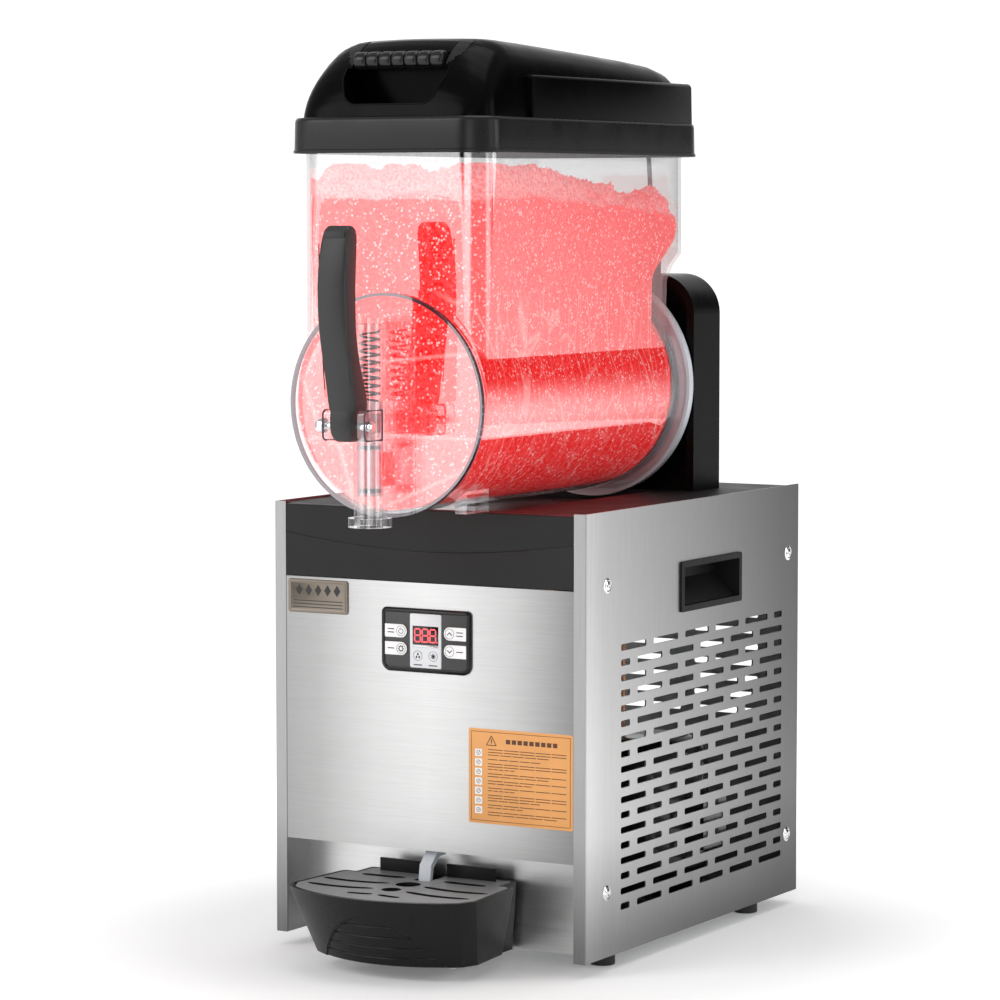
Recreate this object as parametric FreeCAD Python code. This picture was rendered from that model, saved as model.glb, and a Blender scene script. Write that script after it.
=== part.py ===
import FreeCAD, Part
import math
import os
from FreeCAD import Vector

# Slushie machine: one clear bowl on a steel refrigeration cabinet.
# Working frame: X = 0 on the centre plane, +X to the right as a customer sees it,
# Y = 0 on the cabinet's front flanges with +Y to the back, Z = 0 on the lower edge
# of the side panels. Everything is shifted once, on export, so that the finished
# frame has its origin at the middle of the footprint, on the bottom of the feet.

# ---- driving dimensions, millimetres ----
# Cabinet
CABINET_WIDTH = 325.0
CABINET_DEPTH = 434.0
CABINET_HEIGHT = 400.0
SHEET = 1.5                     # steel sheet
FLANGE_WIDTH = 11.5             # front fold of each side panel
FOOT_HEIGHT = 13.0
FOOT_RADIUS = 11.5
RECESS_HEIGHT = 88.5            # open bay below the front panel
RECESS_DEPTH = 37.0
FASCIA_HEIGHT = 66.5
FASCIA_WALL = 3.0
DECK_THICKNESS = 4.0
DECK_DROP = 2.0                 # deck surface below the side panels' top edge
WELL_HALF_WIDTH = 70.0
WELL_DEPTH = 10.0

# Side louvres and lifting recesses
SLOT_LENGTH = 48.3
SLOT_SHORT = 17.0
SLOT_HEIGHT = 6.0
SLOT_GAP = 14.4
SLOT_PITCH_Z = 13.8
SLOT_ROWS = 18
SLOT_COLUMNS = 5
LOUVRE_FRONT = 67.4
LOUVRE_BOTTOM = 38.4
GRIP_LENGTH = 124.5
GRIP_HEIGHT = 46.6
GRIP_BORDER = 5.5
GRIP_REAR = 306.5
GRIP_BOTTOM = 297.0
GRIP_DEPTH = 26.0
GRIP_PROUD = 2.0

# Controls, badge and label
BEZEL_WIDTH = 94.0
BEZEL_HEIGHT = 58.0
BEZEL_BOTTOM = 250.5
BEZEL_PROUD = 3.0
KEY_WIDTH = 24.0
KEY_HEIGHT = 12.0
KEY_INNER = 19.5                # distance of a key's inner end from the centre
KEY_ROWS = (281.5, 265.5)       # bottoms of the two key rows
KEY_PROUD = 1.2
KEY_GAP = 0.4
OVERLAY_WIDTH = 33.0
OVERLAY_HEIGHT = 49.0
WINDOW_WIDTH = 27.0
WINDOW_HEIGHT = 17.0
WINDOW_BOTTOM = 276.0
BADGE_WIDTH = 64.4
BADGE_HEIGHT = 30.7
BADGE_BOTTOM = 298.5
LABEL_WIDTH = 107.0
LABEL_HEIGHT = 85.5
LABEL_BOTTOM = 118.5

# Bowl: an upright hopper over a horizontal freezing cylinder
BOWL_WALL = 3.0
HOPPER_HALF_TOP = 98.0
HOPPER_DRAFT = 4.7              # each side wall leans in by this much at the drum axis
HOPPER_FRONT = -67.0
HOPPER_REAR = 330.0
HOPPER_REAR_LOW = 283.0         # rear wall below its S-bend
HOPPER_RISE = 344.7             # bowl rim above the side panels' top
HOPPER_RADIUS = 30.0
SHOULDER_LOW = 200.0            # S-bend, above the side panels' top
SHOULDER_HIGH = 246.0
DRUM_BOWL_RADIUS = 101.0        # outside of the horizontal cylinder
BOWL_CLEARANCE = 1.0            # under the cylinder
BOWL_BACK = 304.0
BOWL_FLANGE_LIP = 5.0           # rear flange beyond the cylinder
BOWL_FLANGE = 5.0
DISC_STEP = 2.0                 # front disc is this much smaller in radius
DISC_THICKNESS = 5.0
DISC_DROP = 5.0                 # disc centre below the drum axis
SLUSH_RISE = 290.0              # frozen drink's level above the side panels' top
SLUSH_GAP = 0.4
FOOT_RAIL_HALF = 60.0
FOOT_RAIL_WIDTH = 12.0

# Freezing drum and auger
DRUM_RADIUS = 62.0
DRUM_FRONT = 20.0
DRUM_WALL = 2.0
DRUM_FLANGE_STEP = 9.0          # base flange smaller than the bowl's cylinder
AUGER_GAP = 4.0                 # to the bowl and to the drum
AUGER_BLADE = 5.0
AUGER_PITCH = 76.0
AUGER_TURNS = 3.4
AUGER_FRONT = -44.0
SHAFT_RADIUS = 7.0
RUNNING_FIT = 0.08
SEAL_WIDTH = 8.0
SEAL_LIP = 8.0                  # seal beyond the bowl's cylinder

# Rear column
COLUMN_MARGIN = 7.0             # column beyond the bowl's cylinder, each side
COLUMN_FRONT = 315.0
COLUMN_SEAM = 358.0
COLUMN_BACK = 370.0
COLUMN_RISE = 205.0             # above the side panels' top
COLUMN_RADIUS = 38.0
COLUMN_WALL = 8.0
COLUMN_RECESS = 17.0

# Tap
TUBE_STANDOFF = 10.6            # free gap between the disc and the tap tube
TUBE_RADIUS = 14.4
TUBE_WALL = 3.0
TUBE_DROP = 10.4                # outlet below the side panels' top
TUBE_TOP = 168.0
PORT_LOW = 25.0
PORT_HIGH = 55.0
PORT_HALF = 10.0
PIVOT_REACH = 37.0              # lever pivot ahead of the tube's axis
PIVOT_RISE = 80.0
PIN_RADIUS = 3.5
PIN_HALF = 27.0
EAR_GAP = 1.5
EAR_THICK = 7.5
HANDLE_HALF = 12.5
KNUCKLE_RADIUS = 13.0
FINGER_HALF = 3.5
FINGER_THICK = 5.0
FINGER_OVERREACH = 6.0          # past the tube's axis
PISTON_GAP = 0.3
RING_GAP = 0.1
SPRING_TURNS = 9.0
SPRING_RADIUS = 8.4
SPRING_WIRE = 1.6

# Lid
LID_OVERHANG_SIDE = 8.0         # rim beyond the bowl
LID_OVERHANG_FRONT = 9.0
LID_OVERHANG_REAR = 15.0
LID_RADIUS = 32.0
LID_RIM_LOW = 316.5             # above the side panels' top
LID_RIM_HIGH = 348.0
LID_TOP = 417.5
LID_WALL = 3.0
ROLL_RADIUS = 8.0
ROLL_HALF = 46.0
ROLL_SETBACK = 34.0             # grip's axis behind the rim's front
ROLL_RISE = 398.0
GRIP_POCKET_HALF = 52.0
GRIP_POCKET_LOW = 359.0
GRIP_POCKET_HIGH = 391.0
GRIP_POCKET_DEPTH = 54.0
SIDE_BLOCK_PROUD = 4.0
SIDE_BLOCK_TOP = 385.5
SIDE_BLOCK_FRONT = 90.0         # behind the rim's front
SIDE_BLOCK_REAR = 23.0          # ahead of the rim's rear
LENS_HALF = 30.0
LENS_FRONT = 70.0
LENS_REAR = 210.0
LENS_LOW = 395.0

# Lamp lead and its plug
LEAD_RADIUS = 2.25
LEAD_X = 47.0
PLUG_RADIUS = 5.5
PLUG_LENGTH = 22.0
PLUG_FIT = 0.6
DOCK_WALL = 3.0
DOCK_HEIGHT = 16.0

# Drip tray and grid
TRAY_RIM = 63.0
TRAY_HALF_BACK = 91.0
TRAY_HALF_FRONT = 97.0
TRAY_WIDEST = -77.0
TRAY_NOSE = -120.0
TRAY_TONGUE_HALF = 77.0
TRAY_TONGUE_BACK = 30.0
TRAY_TONGUE_FRONT = 3.0
TRAY_LOW_INSET = 14.0           # the bottom outline is this much smaller
TRAY_LOW_NOSE = 27.0
TRAY_WALL = 2.5
TRAY_LIFT = 0.4                 # tray bottom above the bracket arms
GRID_THICK = 4.0
GRID_GAP = 0.5
GRID_LEDGE = 3.0
GRID_SLOT = 8.0
UPSTAND_HEIGHT = 12.0
UPSTAND_INNER = 10.0
UPSTAND_OUTER = 61.0
SPOUT_HALF = 6.0
SPOUT_LOW = 56.0
ARM_THICK = 2.5
ARM_INNER = 45.0
ARM_OUTER = 65.0
ARM_FRONT = -60.0
ARM_BACK = 110.0

# Refrigeration
COMPRESSOR_RADIUS = 56.0
COMPRESSOR_HEIGHT = 150.0
COMPRESSOR_AT = (70.0, 300.0)
CONDENSER_THICK = 28.0
CONDENSER_LENGTH = 180.0
CONDENSER_HEIGHT = 210.0
CONDENSER_FRONT = 90.0
CONDENSER_BOTTOM = 14.0
CONDENSER_SIDE_GAP = 8.0
FIN_PITCH = 9.0
FIN_THICK = 0.8
FAN_RADIUS = 78.0
FAN_GAP = 3.0
FAN_BLADES = 7
FAN_MOTOR_RADIUS = 24.0
FAN_MOTOR_LENGTH = 48.0
GEARBOX_HALF = 38.0
MOTOR_RADIUS = 32.0
MOTOR_NECK = 14.5
MOTOR_LENGTH = 110.0
PIPE_RADIUS = 3.2

# Cuts, laps and small roundings
CUT_PAST = 1.0                  # a cut runs this far past the wall it opens
CUT_DEPTH = 4 * SHEET
SLOT_ROUNDING = SLOT_HEIGHT / 3
GRIP_LAP = 2.0                  # recess frame over the panel's opening
GRIP_FRAME_RADIUS = 2.5
GRIP_WALL = 2.0
GRIP_HOOD = 14.0                # height of the recess's back wall
GRIP_SLOPE_INSET = 4.0
BEZEL_LAP = 2.0
FASCIA_GAP = 0.3
FASCIA_LIP = 12.0
WELL_WALL = 3.0
WELL_FRONT = 20.0
WELL_BACK_GAP = 7.0             # well to column
WELL_RADIUS = 12.0
NECK_CLEARANCE = 2.0
PIPE_CLEARANCE = 1.0
SEAL_CLEARANCE = 1.0
SEAL_SLOT_SPARE = 2.5

# Rear panel
VENT_ROWS = 9
VENT_LOW = 170.0
VENT_PITCH = 16.0
VENT_LEFTS = (-120.0, -35.0, 50.0)
VENT_LENGTH = 70.0
INLET_X = (-124.0, -96.0)
INLET_Z = (52.0, 73.0)
INLET_FIT = 0.2
INLET_FLANGE = 11.0             # flange beyond the body, each side
INLET_FLANGE_HIGH = 2.0
INLET_FLANGE_THICK = 3.0
INLET_DEPTH = 24.0
INLET_WALL = 2.0
INLET_SOCKET = 17.0
INLET_BLADES = (-117.0, -110.0, -103.0)
INLET_BLADE_HALF = 1.0
INLET_BLADE_Z = (60.0, 64.0)

# Feet and screws
FOOT_X = 142.0
FOOT_INSET = 71.0               # from the front and from the rear
FOOT_PAD = 3.0
FOOT_NECK = 0.7                 # pad's radius against the foot's
FOOT_ROUNDING = 1.5
CUP_RADIUS = 5.2
CUP_HEIGHT = 1.2
HEAD_RADIUS = 3.2
HEAD_HEIGHT = 1.4
SHANK_RADIUS = 1.9
SHANK_LENGTH = 6.0
SCREW_PLACES_Y = (41.0, 411.0)
SCREW_PLACES_Z = (58.0, 334.0)

# Controls
BEZEL_RADIUS_LOW = 10.0
BEZEL_RADIUS_HIGH = 4.0
OVERLAY_SEAT = 1.2
OVERLAY_PROUD = 0.5
OVERLAY_RADIUS = 1.5
WINDOW_PROUD = 0.3
KEY_STEM = 5.0
KEY_INNER_ROUND = 0.42          # share of a key's height
KEY_OUTER_RADIUS = 2.0
BOARD_INSET = 5.0
BOARD_BACK = 6.0                # behind the front panel's face
BOARD_THICK = 1.6
POST_SIZE = 3.0
DISPLAY_INSET = 1.0
BADGE_LEFT = -148.0
BADGE_THICK = 1.6
BADGE_RADIUS = 1.5
LABEL_MARGIN = 0.5
LABEL_THICK = 0.2

# Column, drum and gear fittings
COLUMN_WEB_THICK = 4.0
COLUMN_SHAFT_CLEARANCE = 6.0
COLUMN_HOLE_DEPTH = 60.0
COVER_WALL = 4.0
COVER_BACK = 3.0
COVER_SLOT_HALF = 50.0
COVER_SLOT_HEIGHT = 5.0
COVER_SLOT_RADIUS = 2.0
COVER_SLOT_TOP = 60.0           # first slot below the column's top
COVER_SLOT_PITCH = 12.0
COVER_SLOTS = 5
DRUM_ROUNDING = 6.0
DRUM_NOSE = 14.0
DRUM_TAIL = 6.0
SPIGOT_FIT = 1.2
SPIGOT_LENGTH = 12.0
SEAL_SEAT = 0.3
GEARBOX_BELOW = 46.0            # under the drum axis
GEARBOX_ABOVE = 40.0
GEARBOX_RADIUS = 10.0
GEARBOX_FIT = 3.5
BLADE_START = 12.0              # behind the auger's front
BAR_WIDTH = 8.0
BAR_HALF = 4.0
BAR_START = 4.0
ARM_LENGTH = 10.0
ARM_HALF = 5.0
AUGER_BARS = 3
HUB_WALL = 9.0
HUB_LENGTH = 16.0
HUB_BORE_LENGTH = 30.0
NOSE_LENGTH = 9.0
NOSE_WALL = 7.0
NOSE_ROUNDING = 4.0
LIP_LENGTH = 6.0
LIP_WALL = 10.0

# Bowl, tap and lid details
HOPPER_LEAN = 4.0               # front wall's lean down to the drum axis
SLUSH_BACK = 14.0               # ahead of the bowl's open end
SLUSH_AUGER_GAP = 1.2
SLUSH_FRONT = 3.0
RAIL_FRONT = -31.0
RAIL_BACK = 8.0
RAIL_TIE = 4.0
RAIL_TIE_HEIGHT = 24.0
RAIL_LIFT = 0.4
RAIL_TOP = 0.7                  # share of the cylinder's radius
FLARE_LIP = 5.0
FLARE_HEIGHT = 8.0
DUCT_WALL = 3.0
RIB_HALF = 2.0
RIB_LOW = 25.0                  # above the port
RIB_HIGH = 28.0                 # below the tube's top
EAR_AHEAD = 6.0
EAR_BELOW = 13.0
EAR_ABOVE = 14.0
EAR_RADIUS = 5.0
BRIDGE_INNER = 6.0
BRIDGE_AHEAD = 4.0
SLOT_BELOW = 6.0
SLOT_ABOVE = 27.0
CAP_HEIGHT = 5.0
CAP_PLUG = 6.0
CAP_FIT = 0.05
KNOB_LIP = 3.0
KNOB_LENGTH = 4.5
CLIP_GAP = 0.5
CLIP_LIP = 1.2
CLIP_LENGTH = 3.0
FINGER_SIDE_PLAY = 1.5
FINGER_TIP_PLAY = 4.0
PISTON_WINDOW_LOW = 8.0
PISTON_WINDOW_HIGH = 9.0
RING_HEIGHT = 2.4
RING_FROM_END = 3.0
SPRING_END_GAP = 0.2
GRIP_HALF = 14.0                # lever's half width above its knuckle
NECK_FRONT = 10.0
NECK_BACK = 11.0
NECK_HEIGHT = 20.0
POCKET_WALL = 2.0
PLUG_BOOT = 6.0
PLUG_SHOULDER = 1.0
BOOT_WALL = 0.6

# Drip tray details
TRAY_TONGUE_TAPER = 4.0
TRAY_CORNER = 34.0              # side corners behind the nose
NOTCH_SIDE = 2.0
NOTCH_FRONT = -12.0
NOTCH_BELOW = 3.0
UPSTAND_Y = (17.5, 20.0)
GRID_HOLES = ((-33.0, 11.5), (-62.0, 9.0))              # Y and radius
# each slot: inner and outer ends in X and Y, then the dip between them
GRID_SLOTS = (((18.5, -35.5), (86.0, -38.0), 5.6), ((17.0, -64.5), (84.0, -68.0), 5.2),
              ((20.5, -4.6), (65.0, -6.0), 1.2), ((3.0, -89.0), (27.0, -92.6), 0.9))
TIE_LENGTH = 40.0

# Lever's side outline from its pivot, in Y and Z, from the knuckle up and back down
LEVER_FRONT = ((-10.0, 17.0), (-16.5, 45.0), (-23.0, 70.0), (-27.0, 95.0), (-28.0, 120.0),
               (-25.0, 145.0), (-19.5, 165.0))
LEVER_CROWN = ((-15.5, 172.0), (-9.0, 173.5), (-4.5, 168.0))
LEVER_BACK = ((-5.6, 120.0), (-5.0, 82.0), (1.0, 54.0), (10.0, 32.0), (12.0, 17.0))

# ---- derived places ----
HALF = CABINET_WIDTH / 2
INNER = HALF - SHEET                        # inside face of a side panel
OPEN = HALF - FLANGE_WIDTH                  # inner edge of a front flange
TOP = CABINET_HEIGHT
PANEL_FACE = 0.5                            # front panel stands this far back
FASCIA_LOW = TOP - DECK_DROP - FASCIA_HEIGHT
DECK_TOP = TOP - DECK_DROP
AXIS_Z = DECK_TOP + BOWL_CLEARANCE + DRUM_BOWL_RADIUS
HOPPER_HALF_LOW = HOPPER_HALF_TOP - HOPPER_DRAFT
BOWL_FLANGE_RADIUS = DRUM_BOWL_RADIUS + BOWL_FLANGE_LIP
DISC_RADIUS = DRUM_BOWL_RADIUS - DISC_STEP
DRUM_FLANGE_RADIUS = DRUM_BOWL_RADIUS - DRUM_FLANGE_STEP
SEAL_RADIUS = DRUM_BOWL_RADIUS + SEAL_LIP
COLUMN_HALF = DRUM_BOWL_RADIUS + COLUMN_MARGIN
LID_HALF = HOPPER_HALF_TOP + LID_OVERHANG_SIDE
LID_FRONT = HOPPER_FRONT - LID_OVERHANG_FRONT
LID_REAR = HOPPER_REAR + LID_OVERHANG_REAR
ROLL_Y = LID_FRONT + ROLL_SETBACK
GRIP_POCKET_BACK = LID_FRONT + GRIP_POCKET_DEPTH
DISC_Z = AXIS_Z - DISC_DROP
DISC_BACK = HOPPER_FRONT + 1.0
DISC_FACE = DISC_BACK - DISC_THICKNESS
RIM = TOP + HOPPER_RISE
BOWL_BORE = DRUM_BOWL_RADIUS - BOWL_WALL
AUGER_RADIUS = BOWL_BORE - AUGER_GAP
AUGER_BORE = DRUM_RADIUS + AUGER_GAP
TUBE_Y = DISC_FACE - TUBE_STANDOFF - TUBE_RADIUS
PIVOT_Y = TUBE_Y - PIVOT_REACH
PIVOT_Z = TOP + PIVOT_RISE
EAR_INNER = HANDLE_HALF + EAR_GAP
EAR_OUTER = EAR_INNER + EAR_THICK
FINGER_TIP = TUBE_Y + FINGER_OVERREACH
TUBE_LOW = TOP - TUBE_DROP
TUBE_HIGH = TOP + TUBE_TOP
TUBE_BORE = TUBE_RADIUS - TUBE_WALL
PISTON_LOW = TOP + PORT_LOW - 8.0
PISTON_HIGH = PIVOT_Z + 20.0
LEAD_Y = (HOPPER_REAR + LID_REAR - LID_WALL) / 2
COLUMN_TOP = TOP + COLUMN_RISE
COLUMN_WEB = COLUMN_FRONT + COLUMN_RECESS
GEARBOX_Y = (COLUMN_WEB + COLUMN_WEB_THICK + COLUMN_BACK - GEARBOX_FIT) / 2
SEAL_BACK = BOWL_BACK + SEAL_SEAT + SEAL_WIDTH
PIPE_X = -60.0
PIPE_Y = COLUMN_WEB + 12.0
FAN_X = -(INNER - CONDENSER_SIDE_GAP - CONDENSER_THICK - 16.0)
FAN_Y = CONDENSER_FRONT + CONDENSER_LENGTH / 2
FAN_Z = CONDENSER_BOTTOM + CONDENSER_HEIGHT / 2

TINY = 0.01
FULL_TURN = 360.0
X_AXIS = Vector(1, 0, 0)
Y_AXIS = Vector(0, 1, 0)
Z_AXIS = Vector(0, 0, 1)

pieces = {}


# ---- small shape tools ----
def box(x, y, z):
    """A block from three (low, high) pairs."""
    return Part.makeBox(x[1] - x[0], y[1] - y[0], z[1] - z[0], Vector(x[0], y[0], z[0]))


def rod(start, axis, radius, length, bore=0.0):
    """A cylinder that starts at a point, with an optional bore."""
    solid = Part.makeCylinder(radius, length, Vector(*start), axis)
    if bore > 0:
        solid = solid.cut(Part.makeCylinder(bore, length, Vector(*start), axis))
    return solid


def round_along(shape, axis, radius, keep=None):
    """Fillet the straight edges that run along an axis."""
    chosen = []
    for edge in shape.Edges:
        if edge.Curve.TypeId != "Part::GeomLine":
            continue
        if edge.tangentAt(edge.FirstParameter).cross(axis).Length > 1e-6:
            continue
        if keep and not keep(edge.CenterOfMass):
            continue
        chosen.append(edge)
    return shape.makeFillet(radius, chosen)


def prism(points, across, low, high):
    """Extrude an outline along X ('yz' points), Y ('xz' points) or Z ('xy' points)."""
    place = {"X": lambda a, b: Vector(low, a, b),
             "Y": lambda a, b: Vector(a, low, b),
             "Z": lambda a, b: Vector(a, b, low)}[across]
    corners = [place(a, b) for a, b in points]
    face = Part.Face(Part.makePolygon(corners + [corners[0]]))
    step = {"X": X_AXIS, "Y": Y_AXIS, "Z": Z_AXIS}[across] * (high - low)
    return face.extrude(step)


def join(*shapes):
    """Fuse shapes into one clean solid."""
    return shapes[0].multiFuse(list(shapes[1:])).removeSplitter()


def mirrored(shape):
    """The same shape on the other side of the centre plane."""
    return shape.mirror(Vector(0, 0, 0), X_AXIS)


def both(shape):
    """A shape and its mirror image as one group."""
    return Part.makeCompound([shape, mirrored(shape)])


def add(name, shape):
    """Keep a finished piece under its node name."""
    pieces[name] = shape


def tangent_route(points):
    """A path of straight runs joined by the largest tangent arcs they allow."""
    corners = [Vector(*p) for p in points]
    edges = []
    here = corners[0]
    radii = []
    for before, corner, after in zip(corners, corners[1:], corners[2:]):
        back = before - corner
        ahead = after - corner
        short = min(back.Length, ahead.Length)
        turn = math.pi - back.getAngle(ahead)
        cut = 0.45 * short
        radii.append(cut / math.tan(turn / 2))
        start = corner + back.normalize() * cut
        end = corner + ahead.normalize() * cut
        away = (start + end) * 0.5 - corner
        reach = radii[-1] / math.cos(turn / 2) - radii[-1]
        middle = corner + away.normalize() * reach
        edges.append(Part.LineSegment(here, start).toShape())
        edges.append(Part.Arc(start, middle, end).toShape())
        here = end
    edges.append(Part.LineSegment(here, corners[-1]).toShape())
    return Part.Wire(edges), radii


def tube_along(points, radius):
    """A round bar along a route, and the radii of the route's bends."""
    path, radii = tangent_route(points)
    first = Vector(*points[1]) - Vector(*points[0])
    section = Part.Wire(Part.makeCircle(radius, Vector(*points[0]), first))
    return path.makePipeShell([section], True, True), path.Length, radii


# ---- cabinet ----
def louvre_cuts():
    """Staggered long and short slots for one side panel."""
    cuts = []

    def slot(front, length, bottom):
        blank = box((INNER - SHEET, INNER - SHEET + CUT_DEPTH), (front, front + length),
                    (bottom, bottom + SLOT_HEIGHT))
        cuts.append(round_along(blank, X_AXIS, SLOT_ROUNDING))

    for row in range(SLOT_ROWS):
        bottom = LOUVRE_BOTTOM + row * SLOT_PITCH_Z
        y = LOUVRE_FRONT
        if row % 2 == 0:
            slot(y, SLOT_SHORT, bottom)
            y += SLOT_SHORT + SLOT_GAP
        for _ in range(SLOT_COLUMNS):
            slot(y, SLOT_LENGTH, bottom)
            y += SLOT_LENGTH + SLOT_GAP
        if row % 2 == 1:
            slot(y, SLOT_SHORT, bottom)
    return cuts


def grip_window(border):
    """The lifting recess's outline, inset by a border, as Y and Z ranges."""
    rear = GRIP_REAR - border
    front = GRIP_REAR - GRIP_LENGTH + border
    return (front, rear), (GRIP_BOTTOM + border, GRIP_BOTTOM + GRIP_HEIGHT - border)


def side_panels():
    wall = box((INNER, HALF), (0, CABINET_DEPTH), (0, TOP))
    flange = box((OPEN, INNER), (0, SHEET), (0, TOP))
    panel = join(wall, flange)
    y, z = grip_window(GRIP_BORDER - GRIP_LAP)
    panel = panel.cut(box((INNER - CUT_PAST, HALF + CUT_PAST), y, z))
    panel = panel.cut(Part.makeCompound(louvre_cuts()))
    add("side_panel_right", panel)
    add("side_panel_left", mirrored(panel))


def handle_recesses():
    y, z = grip_window(0)
    frame = round_along(box((HALF, HALF + GRIP_PROUD), y, z), X_AXIS, GRIP_FRAME_RADIUS)
    y, z = grip_window(GRIP_BORDER - GRIP_LAP)
    tub = box((HALF - GRIP_DEPTH, HALF), y, z)
    y, z = grip_window(GRIP_BORDER)
    low_back = HALF - GRIP_DEPTH + GRIP_WALL
    hollow = prism([(low_back, z[1]), (low_back, z[1] - GRIP_HOOD), (HALF - GRIP_SLOPE_INSET, z[0]),
                    (HALF + 2 * GRIP_PROUD, z[0]), (HALF + 2 * GRIP_PROUD, z[1])],
                   "Y", y[0], y[1])
    cup = join(frame, tub).cut(hollow)
    add("handle_recess_right", cup)
    add("handle_recess_left", mirrored(cup))


def front_panels():
    back = PANEL_FACE + SHEET
    face = box((-OPEN, OPEN), (PANEL_FACE, back), (RECESS_HEIGHT, FASCIA_LOW))
    ceiling = box((-OPEN, OPEN), (back, RECESS_DEPTH), (RECESS_HEIGHT, RECESS_HEIGHT + SHEET))
    panel = join(face, ceiling)
    inset = BEZEL_LAP
    opening = box((-BEZEL_WIDTH / 2 + inset, BEZEL_WIDTH / 2 - inset), (-CUT_PAST, back + CUT_PAST),
                  (BEZEL_BOTTOM + inset, BEZEL_BOTTOM + BEZEL_HEIGHT - inset))
    add("front_panel", panel.cut(opening))

    wall = box((-OPEN, OPEN), (RECESS_DEPTH, RECESS_DEPTH + SHEET), (0, RECESS_HEIGHT + SHEET))
    cheek = box((OPEN, OPEN + SHEET), (SHEET, RECESS_DEPTH + SHEET), (0, RECESS_HEIGHT + SHEET))
    add("lower_front_panel", join(wall, cheek, mirrored(cheek)))


def rear_panel():
    panel = box((-INNER, INNER), (CABINET_DEPTH - SHEET, CABINET_DEPTH), (0, DECK_TOP))
    cuts = []
    through = (CABINET_DEPTH - CUT_DEPTH, CABINET_DEPTH + CUT_PAST)
    for row in range(VENT_ROWS):
        low = VENT_LOW + row * VENT_PITCH
        for x in VENT_LEFTS:
            vent = box((x, x + VENT_LENGTH), through, (low, low + SLOT_HEIGHT))
            cuts.append(round_along(vent, Y_AXIS, SLOT_ROUNDING))
    cuts.append(box(INLET_X, through, INLET_Z))
    add("rear_panel", panel.cut(Part.makeCompound(cuts)))


def fascia_and_deck():
    gap = FASCIA_GAP
    wall = box((-OPEN + gap, OPEN - gap), (0, FASCIA_WALL), (FASCIA_LOW + gap, DECK_TOP))
    lip = box((-OPEN + gap, OPEN - gap), (FASCIA_WALL, FASCIA_LIP), (DECK_TOP - FASCIA_WALL, DECK_TOP))
    add("fascia", join(wall, lip))

    low = DECK_TOP - DECK_THICKNESS
    plate = box((-INNER, INNER), (FASCIA_LIP, CABINET_DEPTH - SHEET), (low, DECK_TOP))
    floor = DECK_TOP - WELL_DEPTH
    trough = box((-WELL_HALF_WIDTH - WELL_WALL, WELL_HALF_WIDTH + WELL_WALL),
                 (WELL_FRONT - WELL_WALL, COLUMN_FRONT - WELL_BACK_GAP + WELL_WALL),
                 (floor - WELL_WALL, DECK_TOP))
    well = box((-WELL_HALF_WIDTH, WELL_HALF_WIDTH), (WELL_FRONT, COLUMN_FRONT - WELL_BACK_GAP),
               (floor, DECK_TOP + CUT_PAST))
    well = round_along(well, Z_AXIS, WELL_RADIUS)
    deep = DECK_THICKNESS + 2 * CUT_PAST
    motor_hole = rod((0, GEARBOX_Y, low - CUT_PAST), Z_AXIS, MOTOR_NECK + NECK_CLEARANCE, deep)
    pipe_hole = rod((PIPE_X, PIPE_Y, low - CUT_PAST), Z_AXIS, PIPE_RADIUS + PIPE_CLEARANCE, deep)
    seal_slot = rod((0, BOWL_BACK - CUT_PAST, AXIS_Z), Y_AXIS, SEAL_RADIUS + SEAL_CLEARANCE,
                    SEAL_WIDTH + SEAL_SLOT_SPARE)
    deck = join(plate, trough).cut(well)
    add("top_deck", deck.cut(motor_hole).cut(pipe_hole).cut(seal_slot))


def base_and_feet():
    add("base_plate", box((-INNER, INNER), (RECESS_DEPTH + SHEET, CABINET_DEPTH - SHEET), (0, SHEET)))
    foot = rod((0, 0, -FOOT_HEIGHT), Z_AXIS, FOOT_RADIUS, FOOT_HEIGHT - FOOT_PAD)
    foot = foot.makeFillet(FOOT_ROUNDING, [e for e in foot.Edges
                                          if abs(e.CenterOfMass.z + FOOT_HEIGHT) < TINY])
    foot = join(foot, rod((0, 0, -FOOT_PAD), Z_AXIS, FOOT_RADIUS * FOOT_NECK, FOOT_PAD))
    feet = []
    inset = HALF - FOOT_X
    for y in (FOOT_INSET, CABINET_DEPTH - FOOT_INSET):
        right = foot.copy()
        right.translate(Vector(HALF - inset, y, 0))
        feet += [right, mirrored(right)]
    add("feet", Part.makeCompound(feet))


def panel_screws():
    head = rod((HALF, 0, 0), X_AXIS, CUP_RADIUS, CUP_HEIGHT)
    head = join(head, rod((HALF + CUP_HEIGHT, 0, 0), X_AXIS, HEAD_RADIUS, HEAD_HEIGHT))
    head = join(head, rod((INNER - SHANK_LENGTH, 0, 0), X_AXIS, SHANK_RADIUS, SHANK_LENGTH + SHEET))
    group = []
    for y in SCREW_PLACES_Y:
        for z in SCREW_PLACES_Z:
            screw = head.copy()
            screw.translate(Vector(0, y, z))
            group += [screw, mirrored(screw)]
    return group


def fasteners():
    screws = panel_screws()
    panels = pieces["side_panel_right"], pieces["side_panel_left"]
    shanks = Part.makeCompound(screws)
    add("side_panel_right", panels[0].cut(shanks))
    add("side_panel_left", panels[1].cut(shanks))
    add("panel_screws", Part.makeCompound(screws))


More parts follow.
